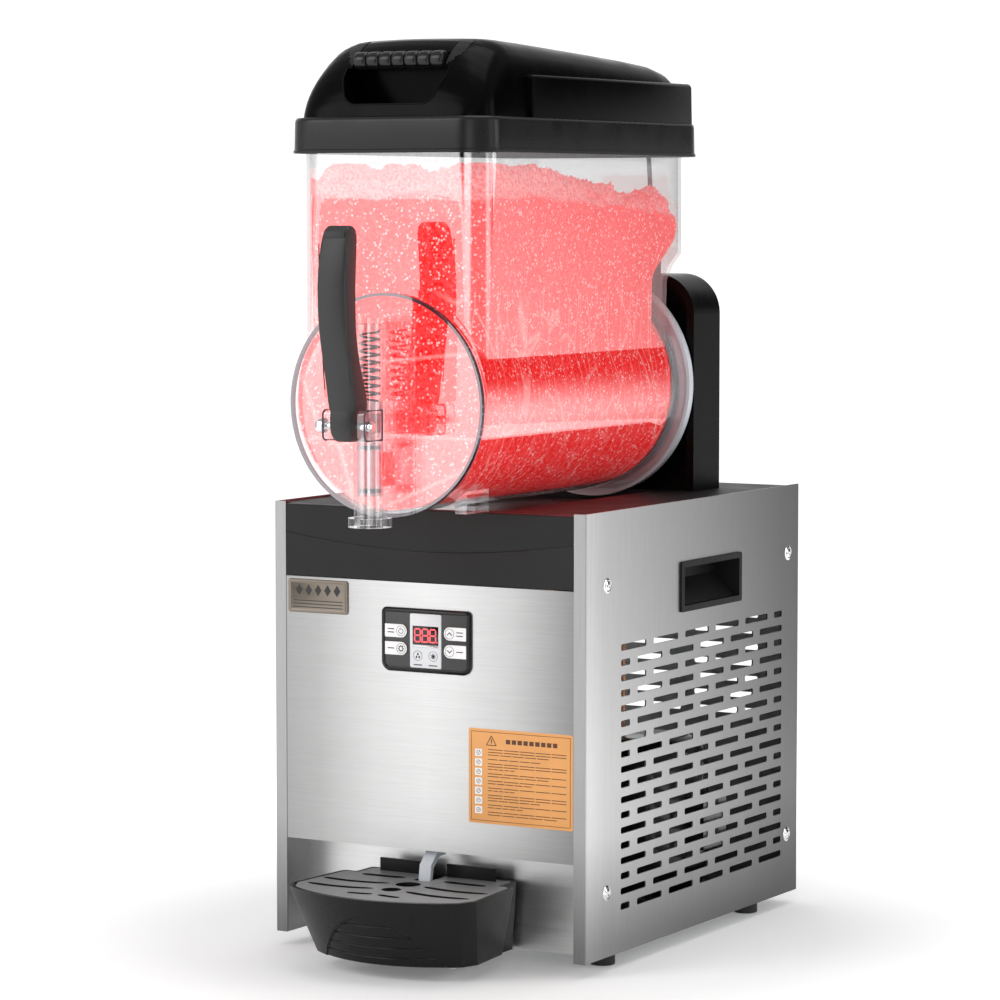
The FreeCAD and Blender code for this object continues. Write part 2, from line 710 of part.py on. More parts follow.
# ---- controls ----
def control_group():
    low, high = BEZEL_BOTTOM, BEZEL_BOTTOM + BEZEL_HEIGHT
    half = BEZEL_WIDTH / 2
    bezel = box((-half, half), (PANEL_FACE - BEZEL_PROUD, PANEL_FACE), (low, high))
    bezel = round_along(bezel, Y_AXIS, BEZEL_RADIUS_LOW, lambda p: p.z < low + CUT_PAST)
    bezel = round_along(bezel, Y_AXIS, BEZEL_RADIUS_HIGH, lambda p: p.z > high - CUT_PAST)
    face = PANEL_FACE - BEZEL_PROUD
    centre = (low + high) / 2
    seat = box((-OVERLAY_WIDTH / 2, OVERLAY_WIDTH / 2), (face, face + OVERLAY_SEAT),
               (centre - OVERLAY_HEIGHT / 2, centre + OVERLAY_HEIGHT / 2))
    pane = box((-WINDOW_WIDTH / 2, WINDOW_WIDTH / 2), (face - WINDOW_PROUD, face + OVERLAY_SEAT),
               (WINDOW_BOTTOM, WINDOW_BOTTOM + WINDOW_HEIGHT))
    overlay = box((-OVERLAY_WIDTH / 2, OVERLAY_WIDTH / 2), (face - OVERLAY_PROUD, face + OVERLAY_SEAT),
                  (centre - OVERLAY_HEIGHT / 2, centre + OVERLAY_HEIGHT / 2))
    overlay = round_along(overlay, Y_AXIS, OVERLAY_RADIUS).cut(pane)
    bezel = bezel.cut(seat)
    names = {("power", -1): 0, ("setup", -1): 1, ("up", 1): 0, ("down", 1): 1}
    for (name, side), row in names.items():
        x = (KEY_INNER, KEY_INNER + KEY_WIDTH)
        if side < 0:
            x = (-x[1], -x[0])
        z = (KEY_ROWS[row], KEY_ROWS[row] + KEY_HEIGHT)
        cap = box(x, (face - KEY_PROUD, face + KEY_STEM), z)
        inner = min(abs(x[0]), abs(x[1]))
        cap = round_along(cap, Y_AXIS, KEY_HEIGHT * KEY_INNER_ROUND,
                          lambda p: abs(abs(p.x) - inner) < TINY)
        cap = round_along(cap, Y_AXIS, KEY_OUTER_RADIUS, lambda p: abs(p.x) > inner + CUT_PAST)
        hole = box((x[0] - KEY_GAP, x[1] + KEY_GAP), (face - CUT_PAST, PANEL_FACE + CUT_PAST),
                   (z[0] - KEY_GAP, z[1] + KEY_GAP))
        bezel = bezel.cut(hole)
        add("key_" + name, cap)
    add("control_bezel", bezel)
    add("control_overlay", overlay)
    add("display_window", pane)
    back = PANEL_FACE + BOARD_BACK
    edge = half - BOARD_INSET
    board = box((-edge, edge), (back, back + BOARD_THICK), (low + BOARD_INSET, high - BOARD_INSET))
    posts = [box((x, x + POST_SIZE), (PANEL_FACE, back), (z, z + POST_SIZE))
             for x in (-edge, edge - POST_SIZE)
             for z in (low + BOARD_INSET, high - BOARD_INSET - POST_SIZE)]
    display = box((-WINDOW_WIDTH / 2 + DISPLAY_INSET, WINDOW_WIDTH / 2 - DISPLAY_INSET),
                  (PANEL_FACE + DISPLAY_INSET, back),
                  (WINDOW_BOTTOM + DISPLAY_INSET, WINDOW_BOTTOM + WINDOW_HEIGHT - DISPLAY_INSET))
    add("control_board", join(board, display, *posts))


def badge_and_label():
    plate = box((BADGE_LEFT, BADGE_LEFT + BADGE_WIDTH), (PANEL_FACE - BADGE_THICK, PANEL_FACE),
                (BADGE_BOTTOM, BADGE_BOTTOM + BADGE_HEIGHT))
    add("badge_plate", round_along(plate, Y_AXIS, BADGE_RADIUS))
    right = OPEN - LABEL_MARGIN
    add("caution_label", box((right - LABEL_WIDTH, right), (PANEL_FACE - LABEL_THICK, PANEL_FACE),
                             (LABEL_BOTTOM, LABEL_BOTTOM + LABEL_HEIGHT)))


# ---- rear column and freezing gear ----
def arch(inset, y, bottom):
    """The column's arched outline, inset all round, as a solid between two Y values."""
    half = COLUMN_HALF - inset
    block = box((-half, half), y, (bottom, COLUMN_TOP - inset))
    radius = max(COLUMN_RADIUS - inset, 2.0)
    return round_along(block, Y_AXIS, radius, lambda p: p.z > COLUMN_TOP - inset - 1)


def column():
    body = arch(0, (COLUMN_FRONT, COLUMN_SEAM), DECK_TOP)
    front = arch(COLUMN_WALL, (COLUMN_FRONT, COLUMN_WEB), DECK_TOP)
    rear = arch(COLUMN_WALL, (COLUMN_WEB + COLUMN_WEB_THICK, COLUMN_SEAM), DECK_TOP)
    shaft_hole = rod((0, COLUMN_FRONT, AXIS_Z), Y_AXIS, SHAFT_RADIUS + COLUMN_SHAFT_CLEARANCE,
                     COLUMN_HOLE_DEPTH)
    body = body.cut(front).cut(rear).cut(shaft_hole)
    add("column_frame", body)
    cover = arch(0, (COLUMN_SEAM, COLUMN_BACK), DECK_TOP)
    cover = cover.cut(arch(COVER_WALL, (COLUMN_SEAM, COLUMN_BACK - COVER_BACK), DECK_TOP))
    through = (COLUMN_BACK - COVER_BACK - CUT_PAST, COLUMN_BACK + CUT_PAST)
    slots = []
    for i in range(COVER_SLOTS):
        z = COLUMN_TOP - COVER_SLOT_TOP - COVER_SLOT_PITCH * i
        slot = box((-COVER_SLOT_HALF, COVER_SLOT_HALF), through, (z, z + COVER_SLOT_HEIGHT))
        slots.append(round_along(slot, Y_AXIS, COVER_SLOT_RADIUS))
    add("column_rear_cover", cover.cut(Part.makeCompound(slots)))


def freezing_drum():
    back = COLUMN_WEB
    length = back - DRUM_FRONT
    shell = rod((0, DRUM_FRONT, AXIS_Z), Y_AXIS, DRUM_RADIUS, length)
    shell = shell.makeFillet(DRUM_ROUNDING, [e for e in shell.Edges
                                             if abs(e.CenterOfMass.y - DRUM_FRONT) < TINY])
    flange = rod((0, SEAL_BACK, AXIS_Z), Y_AXIS, DRUM_FLANGE_RADIUS, back - SEAL_BACK)
    spigot = rod((0, BOWL_BACK - SPIGOT_LENGTH, AXIS_Z), Y_AXIS, BOWL_BORE - SPIGOT_FIT,
                 SPIGOT_LENGTH + SEAL_SEAT + SEAL_WIDTH)
    hollow = rod((0, DRUM_FRONT + DRUM_NOSE, AXIS_Z), Y_AXIS, DRUM_RADIUS - DRUM_WALL,
                 length - DRUM_NOSE - DRUM_TAIL)
    bore = rod((0, DRUM_FRONT - 1, AXIS_Z), Y_AXIS, SHAFT_RADIUS + RUNNING_FIT, length + 2)
    add("evaporator_drum", join(shell, flange, spigot).cut(hollow).cut(bore))
    seal = rod((0, BOWL_BACK + SEAL_SEAT, AXIS_Z), Y_AXIS, SEAL_RADIUS, SEAL_WIDTH,
               BOWL_BORE - SPIGOT_FIT)
    add("bowl_seal", seal)
    add("gearmotor", gearmotor())


def gearmotor():
    y = (COLUMN_WEB + COLUMN_WEB_THICK, COLUMN_BACK - GEARBOX_FIT)
    low = AXIS_Z - GEARBOX_BELOW
    gearbox = box((-GEARBOX_HALF, GEARBOX_HALF), y, (low, AXIS_Z + GEARBOX_ABOVE))
    gearbox = round_along(gearbox, Y_AXIS, GEARBOX_RADIUS)
    top = DECK_TOP - DECK_THICKNESS
    neck = rod((0, GEARBOX_Y, top - MOTOR_LENGTH), Z_AXIS, MOTOR_NECK, low - top + MOTOR_LENGTH)
    can = rod((0, GEARBOX_Y, top - MOTOR_LENGTH), Z_AXIS, MOTOR_RADIUS, MOTOR_LENGTH)
    bore = rod((0, y[0] - 1, AXIS_Z), Y_AXIS, SHAFT_RADIUS + RUNNING_FIT, GEARBOX_Y - y[0] + 1)
    return join(gearbox, neck, can).cut(bore)


def auger_group():
    height = AUGER_PITCH * AUGER_TURNS
    helix = Part.Wire(Part.makeHelix(AUGER_PITCH, height, AUGER_RADIUS))
    half = AUGER_BLADE / 2
    corners = [Vector(AUGER_BORE, 0, -half), Vector(AUGER_RADIUS, 0, -half),
               Vector(AUGER_RADIUS, 0, half), Vector(AUGER_BORE, 0, half)]
    section = Part.makePolygon(corners + [corners[0]])
    blade = helix.makePipeShell([section], True, True)
    blade.rotate(Vector(0, 0, 0), X_AXIS, -90)
    blade.translate(Vector(0, AUGER_FRONT + BLADE_START, AXIS_Z))
    end = AUGER_FRONT + BLADE_START + height
    bars = []
    for turn in range(AUGER_BARS):
        bar = box((AUGER_BORE + 1, AUGER_BORE + 1 + BAR_WIDTH), (AUGER_FRONT + BAR_START, end),
                  (-BAR_HALF, BAR_HALF))
        bar.rotate(Vector(0, 0, 0), Y_AXIS, FULL_TURN / AUGER_BARS * turn)
        bar.translate(Vector(0, 0, AXIS_Z))
        bars.append(bar)
        arm = box((SHAFT_RADIUS + 2, AUGER_BORE + 1 + BAR_WIDTH), (AUGER_FRONT, AUGER_FRONT + ARM_LENGTH),
                  (-ARM_HALF, ARM_HALF))
        arm.rotate(Vector(0, 0, 0), Y_AXIS, FULL_TURN / AUGER_BARS * turn)
        arm.translate(Vector(0, 0, AXIS_Z))
        bars.append(arm)
    hub = rod((0, AUGER_FRONT, AXIS_Z), Y_AXIS, SHAFT_RADIUS + HUB_WALL, HUB_LENGTH)
    spiral = join(blade, hub, *bars)
    spiral = spiral.cut(rod((0, AUGER_FRONT - CUT_PAST, AXIS_Z), Y_AXIS, SHAFT_RADIUS, HUB_BORE_LENGTH))
    add("auger_spiral", spiral)
    shaft_end = GEARBOX_Y - 1.0
    add("drive_shaft", rod((0, AUGER_FRONT, AXIS_Z), Y_AXIS, SHAFT_RADIUS, shaft_end - AUGER_FRONT))
    nose = rod((0, AUGER_FRONT - NOSE_LENGTH, AXIS_Z), Y_AXIS, SHAFT_RADIUS + NOSE_WALL, NOSE_LENGTH)
    nose = nose.makeFillet(NOSE_ROUNDING, [e for e in nose.Edges
                                           if abs(e.CenterOfMass.y - AUGER_FRONT + NOSE_LENGTH) < TINY])
    add("auger_nose", nose)
    lip = rod((0, DRUM_FRONT - LIP_LENGTH, AXIS_Z), Y_AXIS, SHAFT_RADIUS + LIP_WALL, LIP_LENGTH,
              SHAFT_RADIUS + RUNNING_FIT)
    add("shaft_seal", lip)


# ---- bowl ----
def hopper(inset, top):
    """The hopper's solid form, inset all round."""
    front = HOPPER_FRONT + inset
    rear = HOPPER_REAR - inset
    low_rear = HOPPER_REAR_LOW - inset
    bend_low = TOP + SHOULDER_LOW
    bend_high = TOP + SHOULDER_HIGH
    third = (bend_high - bend_low) / 3
    side = [(front, top), (front + HOPPER_LEAN, AXIS_Z), (low_rear, AXIS_Z), (low_rear, bend_low),
            (low_rear + (rear - low_rear) * 0.28, bend_low + third),
            (low_rear + (rear - low_rear) * 0.8, bend_low + 2 * third),
            (rear, bend_high), (rear, top)]
    half_top = HOPPER_HALF_TOP - inset
    half_low = HOPPER_HALF_LOW - inset
    ends = [(-half_low, AXIS_Z), (half_low, AXIS_Z), (half_top, top), (-half_top, top)]
    along = prism(side, "X", -HOPPER_HALF_TOP, HOPPER_HALF_TOP)
    across = prism(ends, "Y", HOPPER_FRONT, HOPPER_REAR)
    column_block = box((-half_top, half_top), (front, rear), (AXIS_Z, top))
    rounded = round_along(column_block, Z_AXIS, max(HOPPER_RADIUS - inset, 1.0))
    return along.common(across).common(rounded)


def bowl_group():
    flange = rod((0, BOWL_BACK - BOWL_FLANGE, AXIS_Z), Y_AXIS, BOWL_FLANGE_RADIUS, BOWL_FLANGE)
    cylinder_low = AXIS_Z - DRUM_BOWL_RADIUS
    flange = flange.cut(box((-200, 200), (0, BOWL_BACK + 1), (0, cylinder_low)))
    outer = join(hopper(0, RIM), flange,
                 rod((0, DISC_BACK, AXIS_Z), Y_AXIS, DRUM_BOWL_RADIUS, BOWL_BACK - DISC_BACK),
                 rod((0, DISC_FACE, DISC_Z), Y_AXIS, DISC_RADIUS, DISC_THICKNESS + BOWL_WALL),
                 foot_rails())
    inner_front = DISC_BACK + BOWL_WALL
    tunnel = rod((0, inner_front, AXIS_Z), Y_AXIS, BOWL_BORE, BOWL_BACK - inner_front)
    inner = join(hopper(BOWL_WALL, RIM), tunnel)
    port = box((-PORT_HALF, PORT_HALF), (DISC_FACE - 1, inner_front + 1),
               (TOP + PORT_LOW, TOP + PORT_HIGH))
    add("bowl", outer.cut(inner).cut(port))

    inset = BOWL_WALL + SLUSH_GAP
    front = DISC_BACK + inset
    drink = join(hopper(inset, RIM).common(box((-200, 200), (-200, 500), (0, TOP + SLUSH_RISE))),
                 rod((0, front, AXIS_Z), Y_AXIS, DRUM_BOWL_RADIUS - inset,
                     BOWL_BACK - SLUSH_BACK - front))
    room = rod((0, front + SLUSH_FRONT, AXIS_Z), Y_AXIS, AUGER_RADIUS + SLUSH_AUGER_GAP, BOWL_BACK - front)
    add("slush", drink.cut(room))


def foot_rails():
    """Two moulded rails under the cylinder's front, sitting on the deck."""
    rail = box((FOOT_RAIL_HALF - FOOT_RAIL_WIDTH, FOOT_RAIL_HALF), (RAIL_FRONT, RAIL_BACK),
               (DECK_TOP + RAIL_LIFT, AXIS_Z - DRUM_BOWL_RADIUS * RAIL_TOP))
    core = rod((0, RAIL_FRONT - CUT_PAST, AXIS_Z), Y_AXIS, DRUM_BOWL_RADIUS - CUT_PAST,
               RAIL_BACK - RAIL_FRONT + 2 * CUT_PAST)
    rail = rail.cut(core)
    return join(rail, box((-FOOT_RAIL_HALF, FOOT_RAIL_HALF), (RAIL_BACK - RAIL_TIE, RAIL_BACK),
                          (DECK_TOP + RAIL_LIFT, DECK_TOP + RAIL_TIE_HEIGHT)).cut(core), mirrored(rail))


# ---- tap ----
def tap_body():
    tube = rod((0, TUBE_Y, TUBE_LOW), Z_AXIS, TUBE_RADIUS, TUBE_HIGH - TUBE_LOW)
    flare = rod((0, TUBE_Y, TUBE_LOW), Z_AXIS, TUBE_RADIUS + FLARE_LIP, FLARE_HEIGHT)
    duct = box((-PORT_HALF - DUCT_WALL, PORT_HALF + DUCT_WALL), (TUBE_Y, DISC_FACE),
               (TOP + PORT_LOW - DUCT_WALL, TOP + PORT_HIGH + DUCT_WALL))
    rib = box((-RIB_HALF, RIB_HALF), (TUBE_Y, DISC_FACE), (TOP + PORT_HIGH + RIB_LOW, TUBE_HIGH - RIB_HIGH))
    ear = box((EAR_INNER, EAR_OUTER), (PIVOT_Y - EAR_AHEAD, TUBE_Y),
              (PIVOT_Z - EAR_BELOW, PIVOT_Z + EAR_ABOVE))
    ear = round_along(ear, X_AXIS, EAR_RADIUS, lambda p: p.y < PIVOT_Y)
    bridge = box((BRIDGE_INNER, EAR_OUTER), (TUBE_Y - TUBE_RADIUS - BRIDGE_AHEAD, TUBE_Y),
                 (PIVOT_Z - EAR_BELOW, PIVOT_Z + EAR_ABOVE))
    body = join(tube, flare, duct, rib, ear, mirrored(ear), bridge, mirrored(bridge))
    bore = rod((0, TUBE_Y, TUBE_LOW - 1), Z_AXIS, TUBE_BORE, TUBE_HIGH - TUBE_LOW + 2)
    port = box((-PORT_HALF, PORT_HALF), (TUBE_Y, DISC_FACE + 1), (TOP + PORT_LOW, TOP + PORT_HIGH))
    slot = box((-FINGER_HALF - CUT_PAST, FINGER_HALF + CUT_PAST), (PIVOT_Y, TUBE_Y),
               (PIVOT_Z - SLOT_BELOW, PIVOT_Z + SLOT_ABOVE))
    pin_hole = rod((-EAR_OUTER - 1, PIVOT_Y, PIVOT_Z), X_AXIS, PIN_RADIUS, 2 * EAR_OUTER + 2)
    add("tap_body", body.cut(bore).cut(port).cut(slot).cut(pin_hole))
    cap = join(rod((0, TUBE_Y, TUBE_HIGH), Z_AXIS, TUBE_RADIUS, CAP_HEIGHT),
               rod((0, TUBE_Y, TUBE_HIGH - CAP_PLUG), Z_AXIS, TUBE_BORE - CAP_FIT, CAP_PLUG))
    add("tap_cap", cap)
    pin = rod((-PIN_HALF, PIVOT_Y, PIVOT_Z), X_AXIS, PIN_RADIUS, 2 * PIN_HALF)
    knob = rod((-PIN_HALF, PIVOT_Y, PIVOT_Z), X_AXIS, PIN_RADIUS + KNOB_LIP, KNOB_LENGTH)
    clip = rod((EAR_OUTER + CLIP_GAP, PIVOT_Y, PIVOT_Z), X_AXIS, PIN_RADIUS + CLIP_LIP, CLIP_LENGTH)
    add("pivot_pin", join(pin, knob, clip))


def tap_piston():
    radius = TUBE_BORE - PISTON_GAP
    body = rod((0, TUBE_Y, PISTON_LOW), Z_AXIS, radius, PISTON_HIGH - PISTON_LOW)
    window = box((-FINGER_HALF - FINGER_SIDE_PLAY, FINGER_HALF + FINGER_SIDE_PLAY),
                 (TUBE_Y - TUBE_RADIUS, FINGER_TIP + FINGER_TIP_PLAY),
                 (PIVOT_Z - PISTON_WINDOW_LOW, PIVOT_Z + PISTON_WINDOW_HIGH))
    grooves = []
    rings = []
    ring_outer = TUBE_BORE - RING_GAP
    for z in (PISTON_LOW + RING_FROM_END, TOP + PORT_HIGH + RING_FROM_END):
        grooves.append(rod((0, TUBE_Y, z), Z_AXIS, TUBE_RADIUS, RING_HEIGHT, ring_outer - RING_HEIGHT))
        rings.append(rod((0, TUBE_Y, z), Z_AXIS, ring_outer, RING_HEIGHT, ring_outer - RING_HEIGHT))
    add("piston", body.cut(window).cut(Part.makeCompound(grooves)))
    add("piston_rings", Part.makeCompound(rings))

    room = TUBE_HIGH - CAP_PLUG - PISTON_HIGH - SPRING_WIRE - 2 * SPRING_END_GAP
    helix = Part.Wire(Part.makeHelix(room / SPRING_TURNS, room, SPRING_RADIUS))
    section = Part.Wire(Part.makeCircle(SPRING_WIRE / 2, Vector(SPRING_RADIUS, 0, 0), Y_AXIS))
    coil = helix.makePipeShell([section], True, True)
    coil.translate(Vector(0, TUBE_Y, PISTON_HIGH + SPRING_WIRE / 2 + SPRING_END_GAP))
    add("tap_spring", coil)


def tap_handle():
    def at(point):
        return Vector(-GRIP_HALF, PIVOT_Y + point[0], PIVOT_Z + point[1])

    edges = []
    for run in (LEVER_FRONT, (LEVER_FRONT[-1],) + LEVER_CROWN, (LEVER_CROWN[-1],) + LEVER_BACK):
        curve = Part.BSplineCurve()
        curve.interpolate([at(p) for p in run])
        edges.append(curve.toShape())
    edges.append(Part.LineSegment(at(LEVER_BACK[-1]), at(LEVER_FRONT[0])).toShape())
    grip = Part.Face(Part.Wire(edges)).extrude(X_AXIS * 2 * GRIP_HALF)
    knuckle = rod((-HANDLE_HALF, PIVOT_Y, PIVOT_Z), X_AXIS, KNUCKLE_RADIUS, 2 * HANDLE_HALF)
    neck = box((-HANDLE_HALF, HANDLE_HALF), (PIVOT_Y - NECK_FRONT, PIVOT_Y + NECK_BACK),
               (PIVOT_Z, PIVOT_Z + NECK_HEIGHT))
    finger = box((-FINGER_HALF, FINGER_HALF), (PIVOT_Y, FINGER_TIP),
                 (PIVOT_Z - FINGER_THICK / 2, PIVOT_Z + FINGER_THICK / 2))
    handle = join(grip, knuckle, neck, finger)
    bore = rod((-PIN_HALF, PIVOT_Y, PIVOT_Z), X_AXIS, PIN_RADIUS + RUNNING_FIT, 2 * PIN_HALF)
    add("tap_handle", handle.cut(bore))


# ---- lid ----
def dome(inset):
    """The lid's domed form above its rim, inset all round."""
    base = TOP + LID_RIM_HIGH - (LID_WALL if inset else 0)
    top = TOP + LID_TOP - inset
    front = LID_FRONT + 8.0 + inset
    rear = LID_REAR - 7.0 - inset
    side = [(front, base), (front + 2.0, TOP + LID_RIM_HIGH + 10.0),
            (front + 24.0, top - 19.0), (front + 34.0, top - 9.0), (front + 51.0, top),
            (rear - 50.0, top - 13.0), (rear - 21.0, top - 22.0), (rear - 8.0, top - 54.0),
            (rear, base)]
    half = HOPPER_HALF_TOP - inset
    ends = [(-half, base), (half, base), (half - 5.0, top - 34.0), (half - 12.0, top - 16.0),
            (half - 22.0, top - 5.0), (half - 38.0, top), (-half + 38.0, top),
            (-half + 22.0, top - 5.0), (-half + 12.0, top - 16.0), (-half + 5.0, top - 34.0)]
    along = prism(side, "X", -half, half)
    across = prism(ends, "Y", front, rear)
    stock = round_along(box((-half, half), (front, rear), (base, top)), Z_AXIS, LID_RADIUS - 4 - inset)
    return along.common(across).common(stock)


def rim_block(inset, low, high):
    block = box((-LID_HALF + inset, LID_HALF - inset), (LID_FRONT + inset, LID_REAR - inset), (low, high))
    return round_along(block, Z_AXIS, LID_RADIUS - inset)


def lid_group():
    low, high = TOP + LID_RIM_LOW, TOP + LID_RIM_HIGH
    half = HOPPER_HALF_TOP + SIDE_BLOCK_PROUD
    blocks = box((-half, half), (LID_FRONT + SIDE_BLOCK_FRONT, LID_REAR - SIDE_BLOCK_REAR),
                 (high, TOP + SIDE_BLOCK_TOP))
    outer = join(rim_block(0, low, high), dome(0), blocks)
    shell = outer.cut(rim_block(LID_WALL, low, high - LID_WALL)).cut(dome(LID_WALL))
    pocket = box((-GRIP_POCKET_HALF - POCKET_WALL, GRIP_POCKET_HALF + POCKET_WALL),
                 (LID_FRONT, GRIP_POCKET_BACK + POCKET_WALL),
                 (TOP + GRIP_POCKET_LOW - POCKET_WALL, TOP + GRIP_POCKET_HIGH + POCKET_WALL)).common(dome(0))
    hollow = box((-GRIP_POCKET_HALF, GRIP_POCKET_HALF), (LID_FRONT - 5, GRIP_POCKET_BACK),
                 (TOP + GRIP_POCKET_LOW, TOP + GRIP_POCKET_HIGH))
    groove = rod((-ROLL_HALF, ROLL_Y, TOP + ROLL_RISE), X_AXIS, ROLL_RADIUS, 2 * ROLL_HALF)
    add("lid_shell", join(shell, pocket).cut(hollow).cut(groove))
    add("lid_grip", groove)
    lens = box((-LENS_HALF, LENS_HALF), (LENS_FRONT, LENS_REAR), (TOP + LENS_LOW, TOP + LID_TOP))
    add("lamp_lens", lens.common(dome(LID_WALL)))


# The lamp lead's route, from the lid's underside to its plug, chosen by hand.
LEAD_ROUTE = [
    (LEAD_X, LEAD_Y, TOP + 345.0),
    (LEAD_X, LEAD_Y, TOP + 326.0),
    (LEAD_X + 1.4, LEAD_Y + 0.6, TOP + 306.0),
    (LEAD_X + 1.8, LEAD_Y + 1.6, TOP + 285.0),
    (LEAD_X + 0.4, LEAD_Y + 1.8, TOP + 264.0),
    (LEAD_X, LEAD_Y + 1.0, TOP + 246.0),
    (LEAD_X, LEAD_Y + 1.0, TOP + 231.0),
]


def lamp_lead():
    route = LEAD_ROUTE
    cord, length, radii = tube_along(route, LEAD_RADIUS)
    print("lead length %.1f mm, bend radii %s" % (length, [round(r, 1) for r in radii]))
    print("lead volume %.1f against %.1f" % (cord.Volume, math.pi * LEAD_RADIUS ** 2 * length))
    add("lamp_lead", cord)
    x, y, high = route[-1]
    low = high - PLUG_LENGTH
    plug = rod((x, y, low), Z_AXIS, PLUG_RADIUS, PLUG_LENGTH - PLUG_BOOT)
    boot = Part.makeCone(PLUG_RADIUS - PLUG_SHOULDER, LEAD_RADIUS + BOOT_WALL, PLUG_BOOT,
                         Vector(x, y, high - PLUG_BOOT), Z_AXIS)
    add("lead_plug", join(plug, boot))
    reach = PLUG_RADIUS + PLUG_FIT
    dock = box((x - reach - DOCK_WALL, x + reach + DOCK_WALL), (y - reach, y + reach + DOCK_WALL),
               (COLUMN_TOP, COLUMN_TOP + DOCK_HEIGHT))
    room = box((x - reach, x + reach), (y - 2 * reach, y + reach), (low - PLUG_FIT, high))
    add("lamp_dock", dock.cut(room))


# ---- drip tray ----
def tray_outline(inset, z, low):
    """Closed outline of the tray at one level; low is 0 at the rim and 1 at the bottom."""
    shrink = TRAY_LOW_INSET * low + inset
    back = TRAY_HALF_BACK - shrink
    wide = TRAY_HALF_FRONT - shrink
    tongue = TRAY_TONGUE_HALF - inset - TRAY_TONGUE_TAPER * low
    rear = TRAY_TONGUE_BACK - inset
    step = TRAY_TONGUE_FRONT - inset
    nose = TRAY_NOSE + inset + TRAY_LOW_NOSE * low
    corner = nose + TRAY_CORNER
    right = [Vector(tongue, rear, z), Vector(tongue, step, z), Vector(back, step, z),
             Vector(wide, corner, z)]
    left = [Vector(-p.x, p.y, z) for p in reversed(right)]
    edges = [Part.LineSegment(a, b).toShape() for a, b in zip(right, right[1:])]
    edges.append(Part.Arc(right[-1], Vector(0, nose, z), left[0]).toShape())
    edges += [Part.LineSegment(a, b).toShape() for a, b in zip(left, left[1:])]
    edges.append(Part.LineSegment(left[-1], right[0]).toShape())
    return Part.Wire(edges)


def tray_form(inset, low, high):
    """The tray's tapering solid between two levels, inset all round."""
    bottom = TRAY_LIFT
    span = TRAY_RIM - bottom
    wires = [tray_outline(inset, z, (TRAY_RIM - z) / span) for z in (low, high)]
    return Part.makeLoft(wires, True, True)


def spout_notch(high):
    return box((-SPOUT_HALF - NOTCH_SIDE, SPOUT_HALF + NOTCH_SIDE),
               (NOTCH_FRONT, TRAY_TONGUE_BACK + CUT_PAST), (SPOUT_LOW - NOTCH_BELOW, high))


def bowed_slot(start, end, dip, low, height):
    """A slot of even width that bows forward between its round ends."""
    middle = ((start[0] + end[0]) / 2, (start[1] + end[1]) / 2 - dip)
    spans = [box((0, math.hypot(b[0] - a[0], b[1] - a[1])), (-GRID_SLOT / 2, GRID_SLOT / 2),
                 (low, low + height)) for a, b in ((start, middle), (middle, end))]
    for span, (a, b) in zip(spans, ((start, middle), (middle, end))):
        span.rotate(Vector(0, 0, 0), Z_AXIS, math.degrees(math.atan2(b[1] - a[1], b[0] - a[0])))
        span.translate(Vector(a[0], a[1], 0))
    discs = [rod((p[0], p[1], low), Z_AXIS, GRID_SLOT / 2, height) for p in (start, middle, end)]
    return join(*spans, *discs)


def drip_group():
    ledge = TRAY_RIM - GRID_THICK
    outer = tray_form(0, TRAY_LIFT, TRAY_RIM)
    seat = tray_form(TRAY_WALL, ledge, TRAY_RIM)
    inside = tray_form(TRAY_WALL + GRID_LEDGE, TRAY_LIFT + TRAY_WALL, ledge)
    tray = outer.cut(seat).cut(inside)
    add("drip_tray", tray.cut(spout_notch(TRAY_RIM + 1)))

    plate_form = Part.Face(tray_outline(TRAY_WALL + GRID_GAP, ledge, GRID_THICK / TRAY_RIM))
    plate = plate_form.extrude(Z_AXIS * GRID_THICK)
    upstand = box((UPSTAND_INNER, UPSTAND_OUTER), UPSTAND_Y, (ledge, TRAY_RIM + UPSTAND_HEIGHT))
    cuts = [rod((0, y, ledge - CUT_PAST), Z_AXIS, r, GRID_THICK + 2 * CUT_PAST) for y, r in GRID_HOLES]
    for start, end, dip in GRID_SLOTS:
        cut = bowed_slot(start, end, dip, ledge - CUT_PAST, GRID_THICK + 2 * CUT_PAST)
        cuts += [cut, mirrored(cut)]
    grid = join(plate, upstand, mirrored(upstand)).cut(Part.makeCompound(cuts))
    add("drip_grid", grid.cut(spout_notch(TRAY_RIM + 1)))

    spout = prism([(26.0, RECESS_HEIGHT), (10.0, RECESS_HEIGHT), (-3.0, 76.0), (-6.0, SPOUT_LOW),
                   (-2.0, SPOUT_LOW), (1.5, 73.0), (12.0, 82.0), (26.0, 83.5)],
                  "X", -SPOUT_HALF, SPOUT_HALF)
    add("drain_spout", spout)
    arm = box((ARM_INNER, ARM_OUTER), (ARM_FRONT, ARM_BACK), (-ARM_THICK, 0))
    tie = box((-ARM_INNER, ARM_INNER), (ARM_BACK - TIE_LENGTH, ARM_BACK), (-ARM_THICK, 0))
    add("tray_bracket", join(arm, mirrored(arm), tie))


# ---- refrigeration ----
def compressor():
    x, y = COMPRESSOR_AT
    can = rod((x, y, SHEET + 12.0), Z_AXIS, COMPRESSOR_RADIUS, COMPRESSOR_HEIGHT)
    can = can.makeFillet(24.0, [e for e in can.Edges if e.Curve.TypeId == "Part::GeomCircle"])
    plate = box((x - 62.0, x + 62.0), (y - 40.0, y + 40.0), (SHEET + 10.0, SHEET + 14.0))
    legs = [rod((x + a, y + b, SHEET), Z_AXIS, 7.0, 10.0) for a in (-52.0, 52.0) for b in (-30.0, 30.0)]
    case = box((x + COMPRESSOR_RADIUS - 8, x + COMPRESSOR_RADIUS + 14), (y - 24.0, y + 24.0), (60.0, 110.0))
    add("compressor", join(can, plate, case, *legs))


